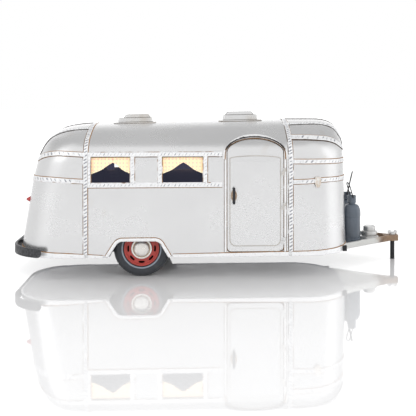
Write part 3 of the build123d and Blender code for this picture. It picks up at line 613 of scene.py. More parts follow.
def make_body_silver(looks):
    """Satin silver paint on tin sheet, with soft blotches; painted shade and a faint painted navy glow on the
    faces inside the cabin.
    """
    material, tree, shader = new_finish("body_silver", looks.body_colour, 0.26, 0.8)
    soft = cloud(tree, place_of(tree, (0.7, 1.0, 1.0)), 14.0, 3.0)
    fine = cloud(tree, place_of(tree, (1.0, 1.0, 2.5)), 260.0, 4.0, 0.7)
    stain = spread(tree, cloud(tree, place_of(tree, (1.0, 1.0, 0.45), (0.31, 0.0, 0.2)), 33.0, 5.0, 0.62),
                   0.62, 0.78)
    base = tuple(looks.body_colour)
    tone = tinted(tree, spread(tree, soft, 0.3, 0.7), tuple(c * 0.965 for c in base),
                  tuple(min(c * 1.025, 0.95) for c in base))
    tone = tinted(tree, sums(tree, "MULTIPLY", stain, 0.3), tone, (0.6, 0.5, 0.39))
    # painted shade: faces looking into the cabin turn dark blue-grey
    inside = facing_in(tree)
    tone = tinted(tree, inside, tone, (0.2, 0.2, 0.27))
    rough = sums(tree, "ADD", spread(tree, fine, 0.3, 0.75, 0.0, 0.015),
                 spread(tree, soft, 0.25, 0.75, 0.23, 0.28))
    drive(tree, shader, tone, rough, spread(tree, inside, 0.0, 1.0, 0.8, 0.0))
    # painted glow: a faint navy light given off by the faces inside the cabin
    shader.inputs["Emission Color"].default_value = (0.5, 0.52, 0.8, 1.0)
    tree.links.new(spread(tree, inside, 0.0, 1.0, 0.0, 0.036), shader.inputs["Emission Strength"])
    raised(tree, shader, soft, 0.0006, 0.4)
    return material


def make_strip_metal(looks):
    """Pressed strips: pale, with painted shade in the dimples, and rust or a black painted shadow in the line
    along each edge.
    """
    material, tree, shader = new_finish("strip_metal", looks.strip_colour, 0.3, 0.4)
    blotch = cloud(tree, place_of(tree), 85.0, 4.0, 0.65)
    spots = cloud(tree, place_of(tree, (1.0, 1.0, 1.0), (0.4, 0.2, 0.1)), 520.0, 3.0, 0.7)
    base = tuple(looks.strip_colour)
    tone = tinted(tree, spread(tree, spots, 0.52, 0.74, 0.0, 0.45), base, (0.5, 0.5, 0.52))
    # painted shade: the dimples turn a cool dark grey
    tone = tinted(tree, spread(tree, attribute(tree, "dip"), 0.08, 0.6, 0.0, 0.85), tone, (0.2, 0.21, 0.25))
    line = tinted(tree, spread(tree, spots, 0.4, 0.7), tuple(looks.rust_colour), (0.2, 0.13, 0.08))
    # painted shadow: the edge line turns near black where it is marked
    line = tinted(tree, attribute(tree, "soot"), line, (0.035, 0.03, 0.03))
    wander = sums(tree, "MULTIPLY", sums(tree, "SUBTRACT", blotch, 0.5), 1.8)
    worn = spread(tree, sums(tree, "ADD", attribute(tree, "edge"), wander), 0.34, 0.62)
    tone = tinted(tree, worn, tone, line)
    drive(tree, shader, tone, spread(tree, worn, 0.0, 1.0, 0.28, 0.75),
          spread(tree, worn, 0.0, 1.0, 0.4, 0.0))
    raised(tree, shader, spots, 0.0001, 0.5)
    return material


def make_plain(name, colour, roughness, metallic=0.0, coat=0.0, scale=120.0, wear=0.12, bump=0.00006,
               second=None):
    """Finish with two scales of tone and a faint grain."""
    material, tree, shader = new_finish(name, colour, roughness, metallic, coat)
    broad = cloud(tree, place_of(tree), scale, 4.0)
    grain = cloud(tree, place_of(tree, (1.0, 1.0, 1.0), (0.3, 0.7, 0.2)), scale * 7.0, 3.0, 0.7)
    other = second or tuple(c * (1 - 3 * wear) for c in colour)
    tone = tinted(tree, spread(tree, broad, 0.38, 0.72), tuple(colour), other)
    tone = tinted(tree, spread(tree, grain, 0.4, 0.8, 0.0, wear * 2), tone,
                  tuple(min(c * 1.5 + 0.02, 1.0) for c in colour))
    drive(tree, shader, tone, spread(tree, sums(tree, "ADD", broad, sums(tree, "MULTIPLY", grain, 0.4)),
                                     0.4, 1.0, roughness * 0.85, min(roughness * 1.25, 1.0)))
    raised(tree, shader, grain, bump, 0.6)
    return material


def wheel_reach(tree):
    """Distance from the wheels' axis."""
    dx = sums(tree, "SUBTRACT", axis_value(tree, "X"), axle_x * MM)
    dz = sums(tree, "SUBTRACT", axis_value(tree, "Z"), axle_z * MM)
    square = sums(tree, "ADD", sums(tree, "MULTIPLY", dx, dx), sums(tree, "MULTIPLY", dz, dz))
    return sums(tree, "SQRT", square)


def ring_mask(tree, reach, radius, half, soft):
    """One on a ring about the wheels' axis."""
    off = sums(tree, "ABSOLUTE", sums(tree, "SUBTRACT", reach, radius * MM))
    return spread(tree, off, half * MM, (half + soft) * MM, 1.0, 0.0)


def make_tyre(looks):
    """Charcoal rubber with dusty patches, a painted highlight on a pale blue ring near the bead, and near
    black on the ring at the wall's groove.
    """
    material, tree, shader = new_finish("tyre_rubber", looks.tyre_colour, 0.42)
    dust = cloud(tree, place_of(tree), 150.0, 5.0, 0.65)
    fine = cloud(tree, place_of(tree), 900.0, 2.0)
    base = tuple(looks.tyre_colour)
    tone = tinted(tree, spread(tree, dust, 0.5, 0.78, 0.0, 0.35), base, (0.11, 0.098, 0.085))
    reach = wheel_reach(tree)
    # painted highlight: a pale blue ring near the bead
    tone = tinted(tree, sums(tree, "MULTIPLY", ring_mask(tree, reach, 19.1, 0.45, 0.5), 0.6), tone,
                  (0.42, 0.48, 0.56))
    # near black on the ring at the wall's groove
    tone = tinted(tree, sums(tree, "MULTIPLY", ring_mask(tree, reach, 25.0, 0.2, 0.5), 0.5), tone,
                  (0.012, 0.013, 0.015))
    drive(tree, shader, tone, spread(tree, ring_mask(tree, reach, 19.1, 0.6, 0.6), 0.0, 1.0, 0.42, 0.22))
    raised(tree, shader, fine, 0.00006, 0.5)
    return material


def make_curtain(looks):
    """Thin cloth with a woven check, read from the sheet's own UV map; it gives off a painted glow in its own
    colours, with painted shade on its side facing the cabin.
    """
    material, tree, shader = new_finish("curtain_cloth", looks.curtain_colour, 0.85)
    shader.inputs["Sheen Weight"].default_value = 0.25
    uv = tree.nodes.new("ShaderNodeUVMap")
    parts = tree.nodes.new("ShaderNodeSeparateXYZ")
    tree.links.new(uv.outputs["UV"], parts.inputs["Vector"])

    def bands(socket, pitch, share):
        saw = sums(tree, "FRACT", sums(tree, "DIVIDE", socket, pitch))
        tri = sums(tree, "ABSOLUTE", sums(tree, "SUBTRACT", saw, 0.5))
        return spread(tree, tri, share / 2 - 0.06, share / 2 + 0.06, 1.0, 0.0)

    warp = bands(parts.outputs["X"], 3.9, 0.5)
    weft = bands(parts.outputs["Y"], 3.6, 0.5)
    both = sums(tree, "ADD", sums(tree, "MULTIPLY", warp, 0.5), sums(tree, "MULTIPLY", weft, 0.5))
    tone = tinted(tree, both, tuple(looks.curtain_colour), tuple(looks.check_colour))
    across, down = (sums(tree, "SINE", sums(tree, "MULTIPLY", parts.outputs[axis], 20.0))
                    for axis in ("X", "Y"))
    threads = sums(tree, "MULTIPLY", across, down)
    worn = cloud(tree, uv.outputs["UV"], 0.35, 3.0)
    tone = tinted(tree, spread(tree, worn, 0.4, 0.8, 0.0, 0.3), tone, (0.93, 0.68, 0.36))
    hem = spread(tree, attribute(tree, "hem"), 0.55, 0.75)
    tone = tinted(tree, hem, tone, (0.95, 0.86, 0.6))
    # painted shade on the curtains' side that faces the cabin
    tone = tinted(tree, facing_in(tree), tone, (0.1, 0.1, 0.16))
    drive(tree, shader, tone)
    # painted glow: the cloth gives off light in its own colours
    tree.links.new(tone, shader.inputs["Emission Color"])
    shader.inputs["Emission Strength"].default_value = 0.47
    raised(tree, shader, threads, 0.00008, 0.5)
    return material


def make_drawbar():
    """Worn silver over bronze: bright at the body, bare and brown towards the head."""
    material, tree, shader = new_finish("worn_bronze", (0.6, 0.6, 0.58), 0.36, 0.6)
    along = axis_value(tree, "X")
    broken = cloud(tree, place_of(tree), 70.0, 5.0, 0.65)
    reach = sums(tree, "ADD", spread(tree, along, 0.15, 0.2, 0.0, 0.8), sums(tree, "MULTIPLY", broken, 0.5))
    bare = spread(tree, reach, 0.52, 0.86)
    patches = cloud(tree, place_of(tree, (1.0, 1.0, 1.0), (0.1, 0.1, 0.1)), 160.0, 4.0)
    brown = tinted(tree, spread(tree, patches, 0.4, 0.7), (0.34, 0.235, 0.16), (0.17, 0.115, 0.085))
    tone = tinted(tree, bare, (0.68, 0.68, 0.66), brown)
    drive(tree, shader, tone, spread(tree, bare, 0.0, 1.0, 0.33, 0.55))
    raised(tree, shader, broken, 0.0003, 0.5)
    return material


def make_hubcap():
    """Pearly plated cap with a tan line round its dome."""
    material, tree, shader = new_finish("hubcap_pearl", (0.8, 0.78, 0.74), 0.2, 0.5)
    tan = ring_mask(tree, wheel_reach(tree), 8.15, 0.25, 0.5)
    spots = cloud(tree, place_of(tree), 300.0, 4.0)
    tone = tinted(tree, spread(tree, spots, 0.55, 0.75, 0.0, 0.4), (0.82, 0.8, 0.76), (0.62, 0.56, 0.47))
    tone = tinted(tree, sums(tree, "MULTIPLY", tan, 0.85), tone, (0.42, 0.32, 0.2))
    drive(tree, shader, tone, spread(tree, spots, 0.4, 0.8, 0.16, 0.34))
    raised(tree, shader, spots, 0.00008, 0.4)
    return material


def make_hammered(looks):
    """Dark hammered metal with bright high spots."""
    material, tree, shader = new_finish("charcoal_metal", looks.bumper_colour, 0.42, 0.35)
    cells = tree.nodes.new("ShaderNodeTexVoronoi")
    cells.inputs["Scale"].default_value = 520.0
    tree.links.new(place_of(tree), cells.inputs["Vector"])
    broad = cloud(tree, place_of(tree), 110.0, 3.0)
    base = tuple(looks.bumper_colour)
    tone = tinted(tree, spread(tree, cells.outputs["Distance"], 0.1, 0.7), base,
                  tuple(c * 0.45 for c in base))
    tone = tinted(tree, spread(tree, broad, 0.45, 0.75, 0.0, 0.4), tone, tuple(c * 1.8 for c in base))
    drive(tree, shader, tone)
    raised(tree, shader, cells.outputs["Distance"], 0.0004, 0.6)
    return material


finishes = {}
# colour, roughness, metallic, then what else sets a plain finish apart
plain_finishes = {
    "black_wire": ((0.022, 0.023, 0.026), 0.4, 0.4, {"scale": 400.0}),
    "lamp_red": ((0.45, 0.02, 0.018), 0.16, 0.0, {"coat": 0.6, "scale": 200.0, "wear": 0.1}),
    "black_metal": ((0.02, 0.021, 0.024), 0.36, 0.4, {"scale": 260.0}),
    "plain_steel": ((0.74, 0.74, 0.74), 0.3, 0.7, {"scale": 60.0, "wear": 0.04, "bump": 0.00002,
                                                   "second": (0.56, 0.55, 0.53)}),
    "vent_silver": ((0.74, 0.74, 0.74), 0.26, 0.75, {"scale": 45.0, "wear": 0.04, "bump": 0.00002,
                                                     "second": (0.62, 0.58, 0.53)}),
    "handle_dark": ((0.03, 0.032, 0.038), 0.42, 0.5, {"scale": 300.0, "second": (0.05, 0.045, 0.045)}),
    # painted shade: black where the rim's slots show dark
    "slot_shade_black": ((0.012, 0.012, 0.014), 0.8, 0.0, {"scale": 300.0}),
    "plate_tan": ((0.55, 0.42, 0.31), 0.6, 0.2, {"scale": 300.0, "second": (0.36, 0.24, 0.15)}),
    "rusty_metal": ((0.3, 0.2, 0.13), 0.6, 0.3, {"scale": 300.0, "second": (0.55, 0.52, 0.48)}),
    "bare_metal": ((0.12, 0.12, 0.125), 0.5, 0.5, {"scale": 160.0}),
    "clasp_worn": ((0.88, 0.87, 0.85), 0.45, 0.3, {"scale": 260.0, "second": (0.62, 0.5, 0.38)}),
    "pan_grey": ((0.78, 0.78, 0.79), 0.6, 0.0, {"scale": 60.0}),
    # painted shade: dark brown for the recessed bands under the vents' tiers
    "gap_shade_brown": ((0.11, 0.09, 0.075), 0.7, 0.0, {"scale": 200.0, "second": (0.2, 0.15, 0.1)}),
    "bead_grey": ((0.56, 0.53, 0.49), 0.5, 0.3, {"scale": 160.0, "wear": 0.05}),
    "rail_white": ((0.93, 0.94, 0.95), 0.3, 0.4, {"scale": 180.0, "wear": 0.05,
                                                  "second": (0.6, 0.57, 0.52)})}
# nodes that show as they are, in another finish than their slot's
own_finishes = {"right_wheel_arch": "rail_white", "left_wheel_arch": "rail_white",
                "door_drip_rail": "rail_white", "door_hinges": "vent_silver",
                "frame_hinges": "vent_silver", "stepped_cap": "plain_steel", "wing_nut": "plain_steel",
                "floor_pan": "pan_grey", "right_wheel_well": "bare_metal", "left_wheel_well": "bare_metal"}


def mix_finishes(looks):
    """Makes every material once and gives the frame's own nodes theirs."""
    finishes["body_silver"] = make_body_silver(looks)
    finishes["strip_metal"] = make_strip_metal(looks)
    finishes["tyre"] = make_tyre(looks)
    finishes["hubcap"] = make_hubcap()
    finishes["curtain"] = make_curtain(looks)
    finishes["charcoal_metal"] = make_hammered(looks)
    finishes["worn_bronze"] = make_drawbar()
    finishes["rim_red"] = make_plain("rim_red", tuple(looks.rim_colour), 0.38, coat=0.25, scale=110.0,
                                     second=(0.36, 0.04, 0.03))
    finishes["can_enamel"] = make_plain("can_enamel", tuple(looks.can_colour), 0.2, coat=0.5, scale=60.0,
                                        wear=0.06, bump=0.00003,
                                        second=tuple(c * 0.8 for c in looks.can_colour))
    for name, (colour, roughness, metallic, rest) in plain_finishes.items():
        finishes[name] = make_plain(name, colour, roughness, metallic, **rest)
    for part in frame["record"]["subparts"]:
        node = frame["nodes"][part["node"]]
        node.data.materials.clear()
        node.data.materials.append(finishes[own_finishes.get(part["node"], part["material_slot"])])


# -------------------------------------------------------------------- the settings
colour_limits = {"subtype": "COLOR", "size": 3, "min": 0.0, "max": 1.0}


class CaravanLooks(bpy.types.PropertyGroup):
    """Colours of the finishes."""

    body_colour: FloatVectorProperty(name="Body", description="Satin paint of the sheets",
                                     default=(0.785, 0.785, 0.79), **colour_limits)
    strip_colour: FloatVectorProperty(name="Strips", description="Pressed strips over the seams",
                                      default=(0.95, 0.955, 0.965), **colour_limits)
    rust_colour: FloatVectorProperty(name="Rust", description="Rust along the strips' edges",
                                     default=(0.36, 0.19, 0.075), **colour_limits)
    tyre_colour: FloatVectorProperty(name="Tyres", description="Rubber",
                                     default=(0.032, 0.036, 0.044), **colour_limits)
    rim_colour: FloatVectorProperty(name="Rims", description="Paint of the rims",
                                    default=(0.45, 0.05, 0.04), **colour_limits)
    curtain_colour: FloatVectorProperty(name="Curtains", description="Ground of the cloth",
                                        default=(1.0, 0.88, 0.5), **colour_limits)
    check_colour: FloatVectorProperty(name="Check", description="Bands woven into the cloth",
                                      default=(1.0, 0.56, 0.46), **colour_limits)
    can_colour: FloatVectorProperty(name="Cans", description="Enamel of the water cans",
                                    default=(0.1, 0.125, 0.16), **colour_limits)
    bumper_colour: FloatVectorProperty(name="Bumper", description="Hammered paint of the bumper",
                                       default=(0.085, 0.087, 0.095), **colour_limits)


class CaravanSizes(bpy.types.PropertyGroup):
    """Sizes of the pressed and turned detail."""

    dimple_pitch: FloatProperty(name="Dimple pitch", description="From one dimple of a strip to the next, mm",
                                default=3.5, min=1.0, max=10.0)
    dimple_depth: FloatProperty(name="Dimple depth", description="Depth of a strip's dimples, mm",
                                default=0.32, min=0.0, max=1.0)
    strip_proud: FloatProperty(name="Strip height", description="Height of a strip off its sheet, mm",
                               default=0.85, min=0.2, max=2.0)
    curtain_fold: FloatProperty(name="Curtain folds", description="Depth of the curtains' folds, mm",
                                default=0.45, min=0.0, max=2.0)
    tread_ribs: FloatProperty(name="Tread groove", description="Depth of the tyres' grooves, mm",
                              default=0.5, min=0.0, max=2.0)
    hammer_depth: FloatProperty(name="Hammer marks", description="Depth of the bumper's marks, mm",
                                default=0.22, min=0.0, max=1.0)


# ------------------------------------------------------------------------ the stage
class CARAVAN_OT_stage(bpy.types.Operator):
    """Camera, pale floor, soft lamps and the white surroundings"""

    bl_idname = "caravan.stage"
    bl_label = "Stage"

    def execute(self, context):
        scene = context.scene
        scene.view_settings.view_transform = "Standard"
        tilt, turn = 0.4076, 2.589
        lens = bpy.data.cameras.new("camera")
        camera = bpy.data.objects.new("camera", lens)
        scene.collection.objects.link(camera)
        lens.sensor_width = 36.0
        lens.lens = 61.86
        lens.shift_x = -0.0585
        lens.shift_y = -0.2701
        lens.clip_start = 0.01
        camera.location = (-0.01416, -0.77367, 0.18389)
        camera.rotation_euler = (math.radians(90 - tilt), 0.0, -math.radians(turn))
        scene.camera = camera
        self.lay_floor(scene)
        self.hang_lamps(scene)
        self.surround(scene)
        return {"FINISHED"}

    def lay_floor(self, scene):
        """Glossy white floor."""
        material, tree, shader = new_finish("floor_white", (0.92, 0.92, 0.925), 0.035, coat=1.0,
                                            coat_roughness=0.03)
        shader.inputs["IOR"].default_value = 1.5
        grain = cloud(tree, place_of(tree), 30.0, 2.0)
        tree.links.new(spread(tree, grain, 0.3, 0.7, 0.02, 0.045), shader.inputs["Roughness"])
        bm = bmesh.new()
        bmesh.ops.create_grid(bm, x_segments=1, y_segments=1, size=6.0)
        data = bpy.data.meshes.new("floor")
        bm.to_mesh(data)
        bm.free()
        data.materials.append(material)
        floor = bpy.data.objects.new("floor", data)
        scene.collection.objects.link(floor)

    def hang_lamps(self, scene):
        """Soft boxes: a large one above and one in front to either side."""
        for name, place, aim, size, power in (
                ("top_box", (0.1, 0.15, 1.7), (0.0, 0.0, 0.05), 1.6, 5.8),
                ("right_box", (1.1, -1.1, 0.75), (0.05, 0.0, 0.08), 0.9, 4.0),
                ("left_box", (-1.2, -1.1, 0.6), (-0.1, 0.0, 0.08), 0.9, 3.5)):
            light = bpy.data.lights.new(name, "AREA")
            light.shape = "SQUARE"
            light.size = size
            light.energy = power
            lamp = bpy.data.objects.new(name, light)
            scene.collection.objects.link(lamp)
            lamp.location = place
            lamp.visible_glossy = False
            lamp.rotation_euler = (Vector(aim) - Vector(place)).to_track_quat("-Z", "Y").to_euler()

    def surround(self, scene):
        """White to the camera; a pale sweep with a darker ceiling to gloss; soft light to the rest."""
        fill, wall, ceiling = 0.92, 0.93, 0.47
        world = bpy.data.worlds.new("surround")
        scene.world = world
        world.use_nodes = True
        tree = world.node_tree
        plain = tree.nodes["Background"]
        gloss = tree.nodes.new("ShaderNodeBackground")
        white = tree.nodes.new("ShaderNodeBackground")
        plain.inputs["Strength"].default_value = fill
        white.inputs["Strength"].default_value = 1.0
        for node in (plain, gloss, white):
            node.inputs["Color"].default_value = (1.0, 1.0, 1.0, 1.0)
        where = tree.nodes.new("ShaderNodeTexCoord")
        parts = tree.nodes.new("ShaderNodeSeparateXYZ")
        tree.links.new(where.outputs["Generated"], parts.inputs["Vector"])
        height = sums(tree, "ABSOLUTE", parts.outputs["Z"])
        ahead = spread(tree, parts.outputs["Y"], -0.12, 0.1, 1.0, 0.0)
        front = spread(tree, height, 0.88, 0.995, wall, ceiling)
        aside = spread(tree, sums(tree, "ABSOLUTE", parts.outputs["X"]), 0.3, 0.62, 1.45, 0.86)
        fall = spread(tree, height, 0.12, 0.92, 1.0, 0.0)
        rear = sums(tree, "MAXIMUM", sums(tree, "MULTIPLY", aside, fall), 0.48)
        level = sums(tree, "ADD", sums(tree, "MULTIPLY", front, ahead),
                     sums(tree, "MULTIPLY", rear, sums(tree, "SUBTRACT", 1.0, ahead)))
        # upright bright bands at two bearings, full within core and gone at edge, in radians;
        # low is the share left at the horizon
        turn = sums(tree, "ARCTAN2", parts.outputs["Y"], parts.outputs["X"])
        for bearing, core, edge, power, low in ((0.02, 0.12, 0.56, 0.5, 1.0), (2.68, 0.1, 0.42, 1.05, 0.1)):
            away = sums(tree, "ABSOLUTE", sums(tree, "ADD", turn, bearing))
            band = sums(tree, "MULTIPLY", spread(tree, away, core, edge, power, 0.0),
                        sums(tree, "MULTIPLY", spread(tree, height, 0.5, 0.82, 1.0, 0.0),
                             spread(tree, height, 0.1, 0.42, low, 1.0)))
            level = sums(tree, "ADD", level, band)
        tree.links.new(level, gloss.inputs["Strength"])
        rays = tree.nodes.new("ShaderNodeLightPath")
        mirrored = sums(tree, "MAXIMUM", rays.outputs["Is Glossy Ray"], rays.outputs["Is Transmission Ray"])
        seen = plain
        for factor, other in ((mirrored, gloss), (rays.outputs["Is Camera Ray"], white)):
            mixed = tree.nodes.new("ShaderNodeMixShader")
            for socket, source in zip(mixed.inputs, (factor, seen.outputs[0], other.outputs[0])):
                tree.links.new(source, socket)
            seen = mixed
        tree.links.new(seen.outputs[0], tree.nodes["World Output"].inputs["Surface"])


class CARAVAN_OT_finishes(bpy.types.Operator):
    """Mixes the finishes and gives the frame's own pieces theirs"""

    bl_idname = "caravan.finishes"
    bl_label = "Finishes"

    def execute(self, context):
        mix_finishes(context.scene.caravan_looks)
        return {"FINISHED"}


# ------------------------------------------------------------------------- the body
class CARAVAN_OT_shell(bpy.types.Operator):
    """Middle shell and the two end caps as smooth satin sheets"""

    bl_idname = "caravan.shell"
    bl_label = "Body shell"

    def execute(self, context):
        bm = worked_copy("middle_shell", flat=0.0)
        shell = finish_piece("body_middle", bm, "body", "body_silver", ("middle_shell",), scale=False,
                             smooth=30.0)
        shell.modifiers.new("weighted", "WEIGHTED_NORMAL").keep_sharp = True
        for end in caps:
            self.press_cap(end)
        return {"FINISHED"}

    def press_cap(self, end):
        """One end cap, a grid formed to its plan outlines."""
        crest = caps[end][1]
        bm = grid_mesh(120, 84)
        for vert in bm.verts:
            share, rise = vert.co.x + 0.5, min(vert.co.y + 0.5, 0.9985)
            width, height = section_point(crest, rise, body_bottom)
            vert.co = cap_plan(end, height, width, share)
        bmesh.ops.recalc_face_normals(bm, faces=bm.faces)
        bm.normal_update()
        probe = max(bm.faces, key=lambda f: abs(f.normal.x))
        if probe.normal.x * caps[end][3] < 0:
            bmesh.ops.reverse_faces(bm, faces=bm.faces)
        bmesh.ops.remove_doubles(bm, verts=bm.verts, dist=0.01)
        thicken(finish_piece(f"body_{end}_cap", bm, "body", "body_silver", (f"{end}_cap",), smooth=60.0),
                0.9)


class CARAVAN_OT_strips(bpy.types.Operator):
    """Pressed strips over the seams, belts, skirts, roof and window grid"""

    bl_idname = "caravan.strips"
    bl_label = "Pressed strips"

    def execute(self, context):
        sizes = context.scene.caravan_sizes
        self.shape = {"proud": sizes.strip_proud, "pitch": sizes.dimple_pitch, "depth": sizes.dimple_depth}
        for end in caps:
            self.hoop(end)
            self.top(end)
            self.cap_skirt(end)
        for name, end, points in belts:
            self.belt(name, end, points)
        for hand, side in (("right", -1), ("left", 1)):
            self.grid(hand, side)
            self.skirt(hand, side)
        return {"FINISHED"}

    def add(self, name, bm, node):
        """A finished strip over its node."""
        thicken(finish_piece(name, bm, "body", "strip_metal", (node,), smooth=70.0), 0.25)

    def hoop(self, end):
        """Strip round the section at a seam."""
        seam, crest = caps[end][:2]
        low = line_value(skirt_line, seam) + 0.3

        def place(a, b):
            share = 1 - abs(2 * a - 1)
            width, height = section_point(crest, share, low)
            return Vector((seam + b * strip_width / 2, (-1 if a < 0.5 else 1) * width, height))

        turn = corner_turn(crest)
        length = 2 * (side_top - low + corner_arc * turn + crown_arc(crest) * (math.pi / 2 - turn))
        worn, soot = strip_edges[f"{end}_seam"]
        self.add(f"seam_{end}", formed_strip(place, length, strip_width, dimple_shade_strength=1.5, worn=worn, soot=soot,
                                             **self.shape), f"{end}_seam_strip")

    def belt(self, name, end, points):
        """Strip round a cap along its own line."""
        crest = caps[end][1]

        def place(a, b):
            share, height = clear_share(a), points[0][1]
            for _ in range(4):
                spot = cap_plan(end, height, width_at(crest, height), share)
                height = line_value(points, spot.x) + b * strip_width / 2
            return cap_plan(end, height, width_at(crest, height), share)

        length = traced(place, 60)
        worn, soot = strip_edges[name]
        self.add(name.replace("belt", "band"),
                 formed_strip(place, length, strip_width, dimple_shade_strength=0.7, worn=worn, soot=soot, **self.shape), name)

    def top(self, end):
        """Three strips from the seam over the cap's crown."""
        seam, _, profile, _ = caps[end]
        wide, narrow, low = top_strips[end]
        wall = smooth_value(profile, low)
        parts = []
        for side in (-1, 0, 1):
            def line(x, offset, side=side):
                share = (x - seam) / (wall - seam)
                return side * (wide + share * (narrow - wide) - strip_width / 2) + offset

            def place(a, b):
                share = 0.035 + a * 0.965
                return cap_ray(end, lambda x: line(x, b * strip_width / 2), low, share)

            length = traced(place, 20)
            # painted shadow: black lines along both edges of the crown strips
            parts.append(formed_strip(place, length, strip_width, worn=(1.0, 1.0), soot=(0.95, 0.95),
                                      **self.shape))
        self.add(f"crown_{end}", join_meshes(parts), f"{end}_top_strips")

    def cap_skirt(self, end):
        """Band along a cap's lower edge."""

        def place(a, b):
            share = clear_share(a)
            spot = cap_plan(end, body_bottom, half_width, share)
            top = line_value(skirt_line, spot.x)
            height = body_bottom + (top - body_bottom) * (max(b, -1.0) + 1) / 2
            return cap_plan(end, height, half_width, share)

        length = traced(place, 60)
        bm = formed_strip(place, length, 4.5, depth=0.0, step=1.5, proud=0.75, worn=(0.35, 0.95))
        self.add(f"skirt_{end}", bm, f"{end}_skirt")

    def skirt(self, hand, side):
        """Band along the middle shell's lower edge, before and behind the wheel arch."""
        parts, clear, lap = [], 2.1, 0.5
        for x0, x1 in ((rear_seam + clear, arch_gap[0] + lap), (arch_gap[1] - lap, front_seam - clear)):
            def place(a, b):
                x = x0 + a * (x1 - x0)
                top = line_value(skirt_line, x)
                return side_point(x, body_bottom + (top - body_bottom) * (max(b, -1.0) + 1) / 2, side)

            parts.append(formed_strip(place, x1 - x0, 3.5, depth=0.0, step=1.5, proud=0.75,
                                      worn=(0.35, 0.95)))
        self.add(f"skirt_{hand}", join_meshes(parts), f"{hand}_skirt")

    def grid(self, hand, side):
        """Upper and lower rails and the posts between the panes."""
        parts = []
        half, lap = strip_width / 2, 0.4
        for name, z in (("upper_rail", window_head + half), ("lower_rail", window_sill - half)):
            def rail(a, b):
                return side_point(grid_rear + a * (grid_front - grid_rear), z + b * half, side)

            worn, soot = strip_edges[name]
            parts.append(formed_strip(rail, grid_front - grid_rear, strip_width, dimple_shade_strength=0.55, worn=worn,
                                      soot=soot, **self.shape))
        for x0, x1 in grid_posts:
            def post(a, b):
                return side_point((x0 + x1) / 2 + b * (x1 - x0) / 2, window_sill - lap
                                  + a * (window_head - window_sill + 2 * lap), side)

            parts.append(formed_strip(post, window_head - window_sill, x1 - x0, dimple_shade_strength=0.55,
                                      worn=(0.5, 0.65), **self.shape))
        self.add(f"window_grid_{hand}", join_meshes(parts), f"{hand}_window_frame")


# ------------------------------------------------------------------------- the door
def door_outline(grow, foot, spring, head, rear, front, corner):
    """Points of a door-shaped outline on the XZ plane, an arched head over straight sides."""
    middle, half = (rear + front) / 2, (front - rear) / 2 + grow
    points, steps = [], 24
    for i in range(steps + 1):
        angle = math.pi * i / steps
        points.append((middle + half * math.cos(angle), spring + (head - spring + grow) * math.sin(angle)))
    low = foot - grow
    for cx, start in ((middle - half + corner, math.pi), (middle + half - corner, 1.5 * math.pi)):
        for i in range(9):
            angle = start + i * math.pi / 16
            points.append((cx + corner * math.cos(angle), low + corner + corner * math.sin(angle)))
    return points


